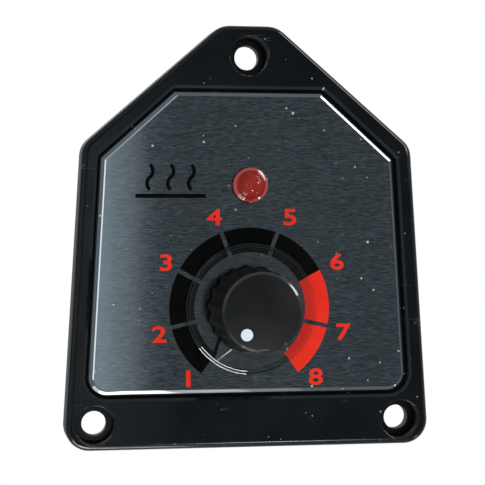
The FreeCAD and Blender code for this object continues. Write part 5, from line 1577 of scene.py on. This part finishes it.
round_capacitor("timing_can", "timing_capacitor")
round_capacitor("supply_can", "supply_capacitor")

# %% [markdown]
# The relay's cover and the film capacitor are boxes moulded with round edges. Each starts as a block. The
# relay's roof is inset and sunk by a hair, as a mould's ejector side is, and has a small vent nib.

# %% Relay cover and film capacitor
RELAY_ROUND = 0.35
ROOF_INSET = 1.3
ROOF_SINK = 0.18
NIB_RADIUS = 0.9
NIB_RISE = 0.5
NIB_ASIDE = 3.0
NIB_SINK = 0.2
NIB_ROUND = 0.15
NIB_STEPS = 28
FILM_ROUND = 0.8
FILM_LIFT = 0.3
FOOT_ASIDE = 0.6
FOOT_HEIGHT = 0.8
FOOT_WIDTH = 1.4
FOOT_END = 0.9


def faces_back(face):
    """True for a face that looks away from the panel."""
    return face.normal.y > SQUARELY


relay_low, relay_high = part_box("relay_case")
relay_cover = block("relay_cover", relay_low, relay_high - BEHIND * NIB_RISE * MM)
pick(relay_cover, "FACE", faces_back)
bpy.ops.mesh.inset(thickness=ROOF_INSET * MM)
bpy.ops.transform.translate(value=AHEAD * ROOF_SINK * MM)
bpy.ops.object.mode_set(mode="OBJECT")
soften(relay_cover, RELAY_ROUND, 4)
nib_place = Vector((relay_high.x - NIB_ASIDE * MM, 0, relay_low.z + NIB_ASIDE * MM))
nib_foot = relay_high.y / MM - NIB_RISE - ROOF_SINK - NIB_SINK
nib_top = relay_high.y / MM
nib_outline = [
    (0, nib_foot),
    (NIB_RADIUS, nib_foot),
    (NIB_RADIUS, nib_top - NIB_ROUND),
    (NIB_RADIUS - NIB_ROUND, nib_top),
    (0, nib_top),
]
nib = lathe("nib", nib_outline, nib_place, BEHIND, RIGHT, NIB_STEPS)
smooth(nib)
relay_cover = join("relay_cover", [relay_cover, nib])
settle(relay_cover, "panel", "relay_plastic", FINISHES["relay_plastic"], "relay_case")

film_low, film_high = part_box("film_capacitor")
film_base = Vector((film_low.x, BOARD_REAR * MM + FILM_LIFT * MM, film_low.z))
film_box = block("film_box", film_base, film_high)
soften(film_box, FILM_ROUND, 4)


def film_foot(start):
    """A foot that keeps the film capacitor off the board, from a distance above its lower end."""
    low_corner = Vector((film_low.x + FOOT_ASIDE * MM, BOARD_REAR * MM, film_low.z + start * MM))
    high_end = film_low.z + (start + FOOT_WIDTH) * MM
    high_corner = Vector((film_high.x - FOOT_ASIDE * MM, (BOARD_REAR + FOOT_HEIGHT) * MM, high_end))
    return block("foot", low_corner, high_corner)


film_length = (film_high.z - film_low.z) / MM
film_feet = [film_foot(start) for start in (FOOT_END, film_length - FOOT_END - FOOT_WIDTH)]
film_box = join("film_box", [film_box] + film_feet)
settle(film_box, "panel", "film_resin", FINISHES["film_resin"], "film_capacitor")

# %% [markdown]
# Two pan-head screws hold the board. The head is spun from a rounded outline and its cross is cut with two
# blocks. The shank shows only from the side, so it stays a plain rod.

# %% Board screws
SCREW_HEAD = 2.6
SCREW_SHANK = 1.2
SCREW_POINT = 0.8
CROSS_WIDTH = 0.75
CROSS_REACH = 1.55
CROSS_DEPTH = 1.1
SCREW_STEPS = 48

screws_low, screws_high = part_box("board_screws")
screw_top = screws_high.y / MM
screw_foot = screws_low.y / MM
screw_outline = [
    (0, screw_foot),
    (SCREW_SHANK * 0.5, screw_foot),
    (SCREW_SHANK, screw_foot + SCREW_POINT),
    (SCREW_SHANK, BOARD_REAR),
    (SCREW_HEAD, BOARD_REAR),
    (SCREW_HEAD, BOARD_REAR + 0.55),
    (SCREW_HEAD * 0.95, BOARD_REAR + 1.0),
    (SCREW_HEAD * 0.80, BOARD_REAR + 1.45),
    (SCREW_HEAD * 0.55, screw_top - 0.15),
    (SCREW_HEAD * 0.28, screw_top),
    (0, screw_top),
]
screws = []
for across in (screws_low.x + SCREW_HEAD * MM, screws_high.x - SCREW_HEAD * MM):
    place = Vector((across, 0, (screws_low.z + screws_high.z) / 2))
    screw = lathe("screw", screw_outline, place, BEHIND, RIGHT, SCREW_STEPS)
    for wide, tall in ((CROSS_REACH, CROSS_WIDTH / 2), (CROSS_WIDTH / 2, CROSS_REACH)):
        low_corner = place + Vector((-wide, screw_top - CROSS_DEPTH, -tall)) * MM
        high_corner = place + Vector((wide, screw_top + 1, tall)) * MM
        cut_with(screw, block("cross", low_corner, high_corner))
    smooth(screw)
    screws.append(screw)
settle(join("pan_screws", screws), "panel", "plated_steel", FINISHES["plated_steel"], "board_screws")

# %% [markdown]
# Four push-on blades take the machine's wiring. Each is stamped from sheet brass: a tongue with slanted
# corners, a square slot for the latch and one foot through the board. The outline is drawn once round,
# filled, given the sheet's thickness and pierced, and the burr is rounded off.

# %% Push-on blades
BLADE_COUNT = 4
BLADE_TIP = 1.3
BLADE_SLOT = 1.7
BLADE_SLOT_PLACE = 3.4
BLADE_FOOT = 1.5
BLADE_SHEET = 0.8 * MM
BURR = 0.12

blades_low, blades_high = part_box("blade_terminals")
blade_step = (blades_high.z - blades_low.z - BLADE_SHEET) / (BLADE_COUNT - 1)


def blade_middle(number):
    """Where the middle line of a blade meets the XZ plane."""
    base = blades_low.z + blade_step * number
    return Vector(((blades_low.x + blades_high.x) / 2, 0, base + BLADE_SHEET / 2))


def blade_outline():
    """The corners of a blade across and away from the board, in millimetres."""
    left, right = blades_low.x / MM, blades_high.x / MM
    foot, tip = blades_low.y / MM, blades_high.y / MM
    half = [(BLADE_FOOT / 2, foot), (BLADE_FOOT / 2, BOARD_REAR), ((right - left) / 2, BOARD_REAR)]
    half += [((right - left) / 2, tip - BLADE_TIP), ((right - left) / 2 - BLADE_TIP, tip)]
    middle = (left + right) / 2
    right_side = [(middle + across, away) for across, away in half]
    return right_side + [(middle - across, away) for across, away in reversed(half)]


def blade(number):
    """One blade, from its outline."""
    base = blades_low.z + blade_step * number
    points = [Vector((across * MM, away * MM, base)) for across, away in blade_outline()]
    piece = draw_line("blade", points)
    bpy.ops.mesh.select_all(action="SELECT")
    bpy.ops.mesh.edge_face_add()
    bpy.ops.mesh.extrude_region_move(TRANSFORM_OT_translate={"value": UP * BLADE_SHEET})
    tidy_mesh(piece)
    slot = blade_middle(number) + BEHIND * (blades_high.y - BLADE_SLOT_PLACE * MM)
    reach = Vector((BLADE_SLOT / 2, BLADE_SLOT / 2, BLADE_SHEET / MM)) * MM
    cut_with(piece, block("punch", slot - reach, slot + reach))
    soften(piece, BURR, 2, 40)
    return piece


blades = [blade(number) for number in range(BLADE_COUNT)]
settle(join("push_on_blades", blades), "panel", "tinned_brass", FINISHES["tinned_brass"], "blade_terminals")

# %% [markdown]
# White lines on the lacquer show the fitter where each part goes. Round parts have a ring and square ones a
# frame, printed as thinly as the dial's scale.

# %% Fitting lines on the board
LINE_WIDTH = 0.25
LINE_ROOM = 0.45
RING_STEPS = 64
WHITE_INK = plain_finish("ink_white", grey(0.62), grey(0.74), (0.5, 0.65), 400)


def fitting_ring(node):
    """A printed ring round a round part."""
    low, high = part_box(node)
    radius = (high.x - low.x) / 2 / MM + LINE_ROOM
    far = radius + LINE_WIDTH
    top = BOARD_REAR + INK
    outline = [(radius, BOARD_REAR), (far, BOARD_REAR), (far, top), (radius, top), (radius, BOARD_REAR)]
    return lathe("line", outline, axis_of(node), BEHIND, RIGHT, RING_STEPS)


def fitting_frame(node):
    """A printed frame round a square part."""
    low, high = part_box(node)
    room = (LINE_ROOM + LINE_WIDTH) * MM
    deselect()
    middle = axis_of(node) + BEHIND * BOARD_REAR * MM
    bpy.ops.mesh.primitive_plane_add(size=1, location=middle, rotation=(-math.pi / 2, 0, 0))
    bpy.context.object.scale = (high.x - low.x + 2 * room, high.z - low.z + 2 * room, 1)
    piece = named("line")
    bpy.ops.object.mode_set(mode="EDIT")
    bpy.ops.mesh.select_all(action="SELECT")
    bpy.ops.mesh.inset(thickness=LINE_WIDTH * MM)
    bpy.ops.mesh.delete(type="FACE")
    raise_ink(piece, -INK)
    return piece


lines = [fitting_ring(node) for node in ("timing_capacitor", "supply_capacitor")]
lines += [fitting_frame(node) for node in ("relay_case", "film_capacitor", "timer_chip", "transistor")]
settle(join("fitting_lines", lines), "panel", "white_paint", WHITE_INK)

# %% [markdown]
# The capacitors stand on straight wires, and on the side of the board that faces the panel every wire ends in
# a little cone of solder. Only the lamp and the potentiometer come from that side, so theirs is on the back.
# The places could be typed in, but the frame shows where the wires come out: its points past the board are
# gathered into one place for each wire. One wire and one cone for each side are spun and then copied.

# %% Straight wires and solder
WIRE_NEAR = 0.9 * MM
WIRE_PAST = 0.1 * MM
WIRE_TIP = 0.06
STANDING = ("film_capacitor", "timing_capacitor", "supply_capacitor")
LYING = ("relay_base", "chip_legs", "resistor_leads", "diode_leads", "transistor_legs")
FROM_FRONT = ("lamp_leads", "pot_terminals")
SOLDER = ((0, 0), (0.58, 0), (0.47, 0.10), (0.40, 0.28), (0.36, 0.50), (0.33, 0.66), (0, 0.70))
SOLDER_STEPS = 16
BLADE_SOLDER = (2.0, 1.6)


def wire_places(node, behind):
    """The middle of every wire of a node that comes out of the board in front, or behind it."""
    groups = []
    for vertex in frame["nodes"][node].data.vertices:
        past = vertex.co.y - BOARD_HIGH.y if behind else BOARD_LOW.y - vertex.co.y
        if past < WIRE_PAST:
            continue
        near = [group for group in groups if (group[0] - vertex.co).xz.length < WIRE_NEAR]
        if near:
            near[0].append(vertex.co)
        else:
            groups.append([vertex.co])
    middles = [sum(group, Vector()) / len(group) for group in groups]
    return [Vector((middle.x, 0, middle.z)) for middle in middles]


def copy_to(piece, place, wide=1.0, tall=1.0):
    """A copy of a piece with its own mesh, stretched and moved to a place."""
    made = piece.copy()
    made.data = piece.data.copy()
    scene.collection.objects.link(made)
    made.data.transform(Matrix.Translation(place) @ Matrix.Diagonal((wide, 1, tall, 1)))
    return made


def throw_away(piece):
    """Delete a piece that was only a pattern for copies."""
    make_active(piece)
    bpy.ops.object.delete()


wire_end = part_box("film_capacitor")[0].y / MM
straight_outline = [
    (0, wire_end),
    (WIRE_RADIUS - WIRE_TIP, wire_end),
    (WIRE_RADIUS, wire_end + WIRE_TIP),
    (WIRE_RADIUS, BOARD_REAR + WIRE_TIP),
    (0, BOARD_REAR + WIRE_TIP),
]
straight_wire = lathe("straight_wire", straight_outline, Vector(), BEHIND, RIGHT, SOLDER_STEPS)
smooth(straight_wire)
standing_places = [place for node in STANDING for place in wire_places(node, False)]
standing_wires = [copy_to(straight_wire, place) for place in standing_places]
throw_away(straight_wire)
settle(join("capacitor_wires", standing_wires), "panel", "tinned_wire", FINISHES["tinned_wire"], *STANDING)

front_cone = lathe("cone", SOLDER, Vector((0, BOARD_LOW.y, 0)), AHEAD, RIGHT, SOLDER_STEPS)
smooth(front_cone)
rear_cone = lathe("cone", SOLDER, Vector((0, BOARD_HIGH.y, 0)), BEHIND, RIGHT, SOLDER_STEPS)
smooth(rear_cone)
lying_places = [place for node in LYING for place in wire_places(node, False)]
cones = [copy_to(front_cone, place) for place in standing_places + lying_places]
cones += [copy_to(rear_cone, place) for node in FROM_FRONT for place in wire_places(node, True)]
cones += [copy_to(front_cone, blade_middle(number), *BLADE_SOLDER) for number in range(BLADE_COUNT)]
throw_away(front_cone)
throw_away(rear_cone)
print(len(cones), "cones of solder")
settle(join("solder_cones", cones), "panel", "tinned_wire", FINISHES["tinned_wire"])
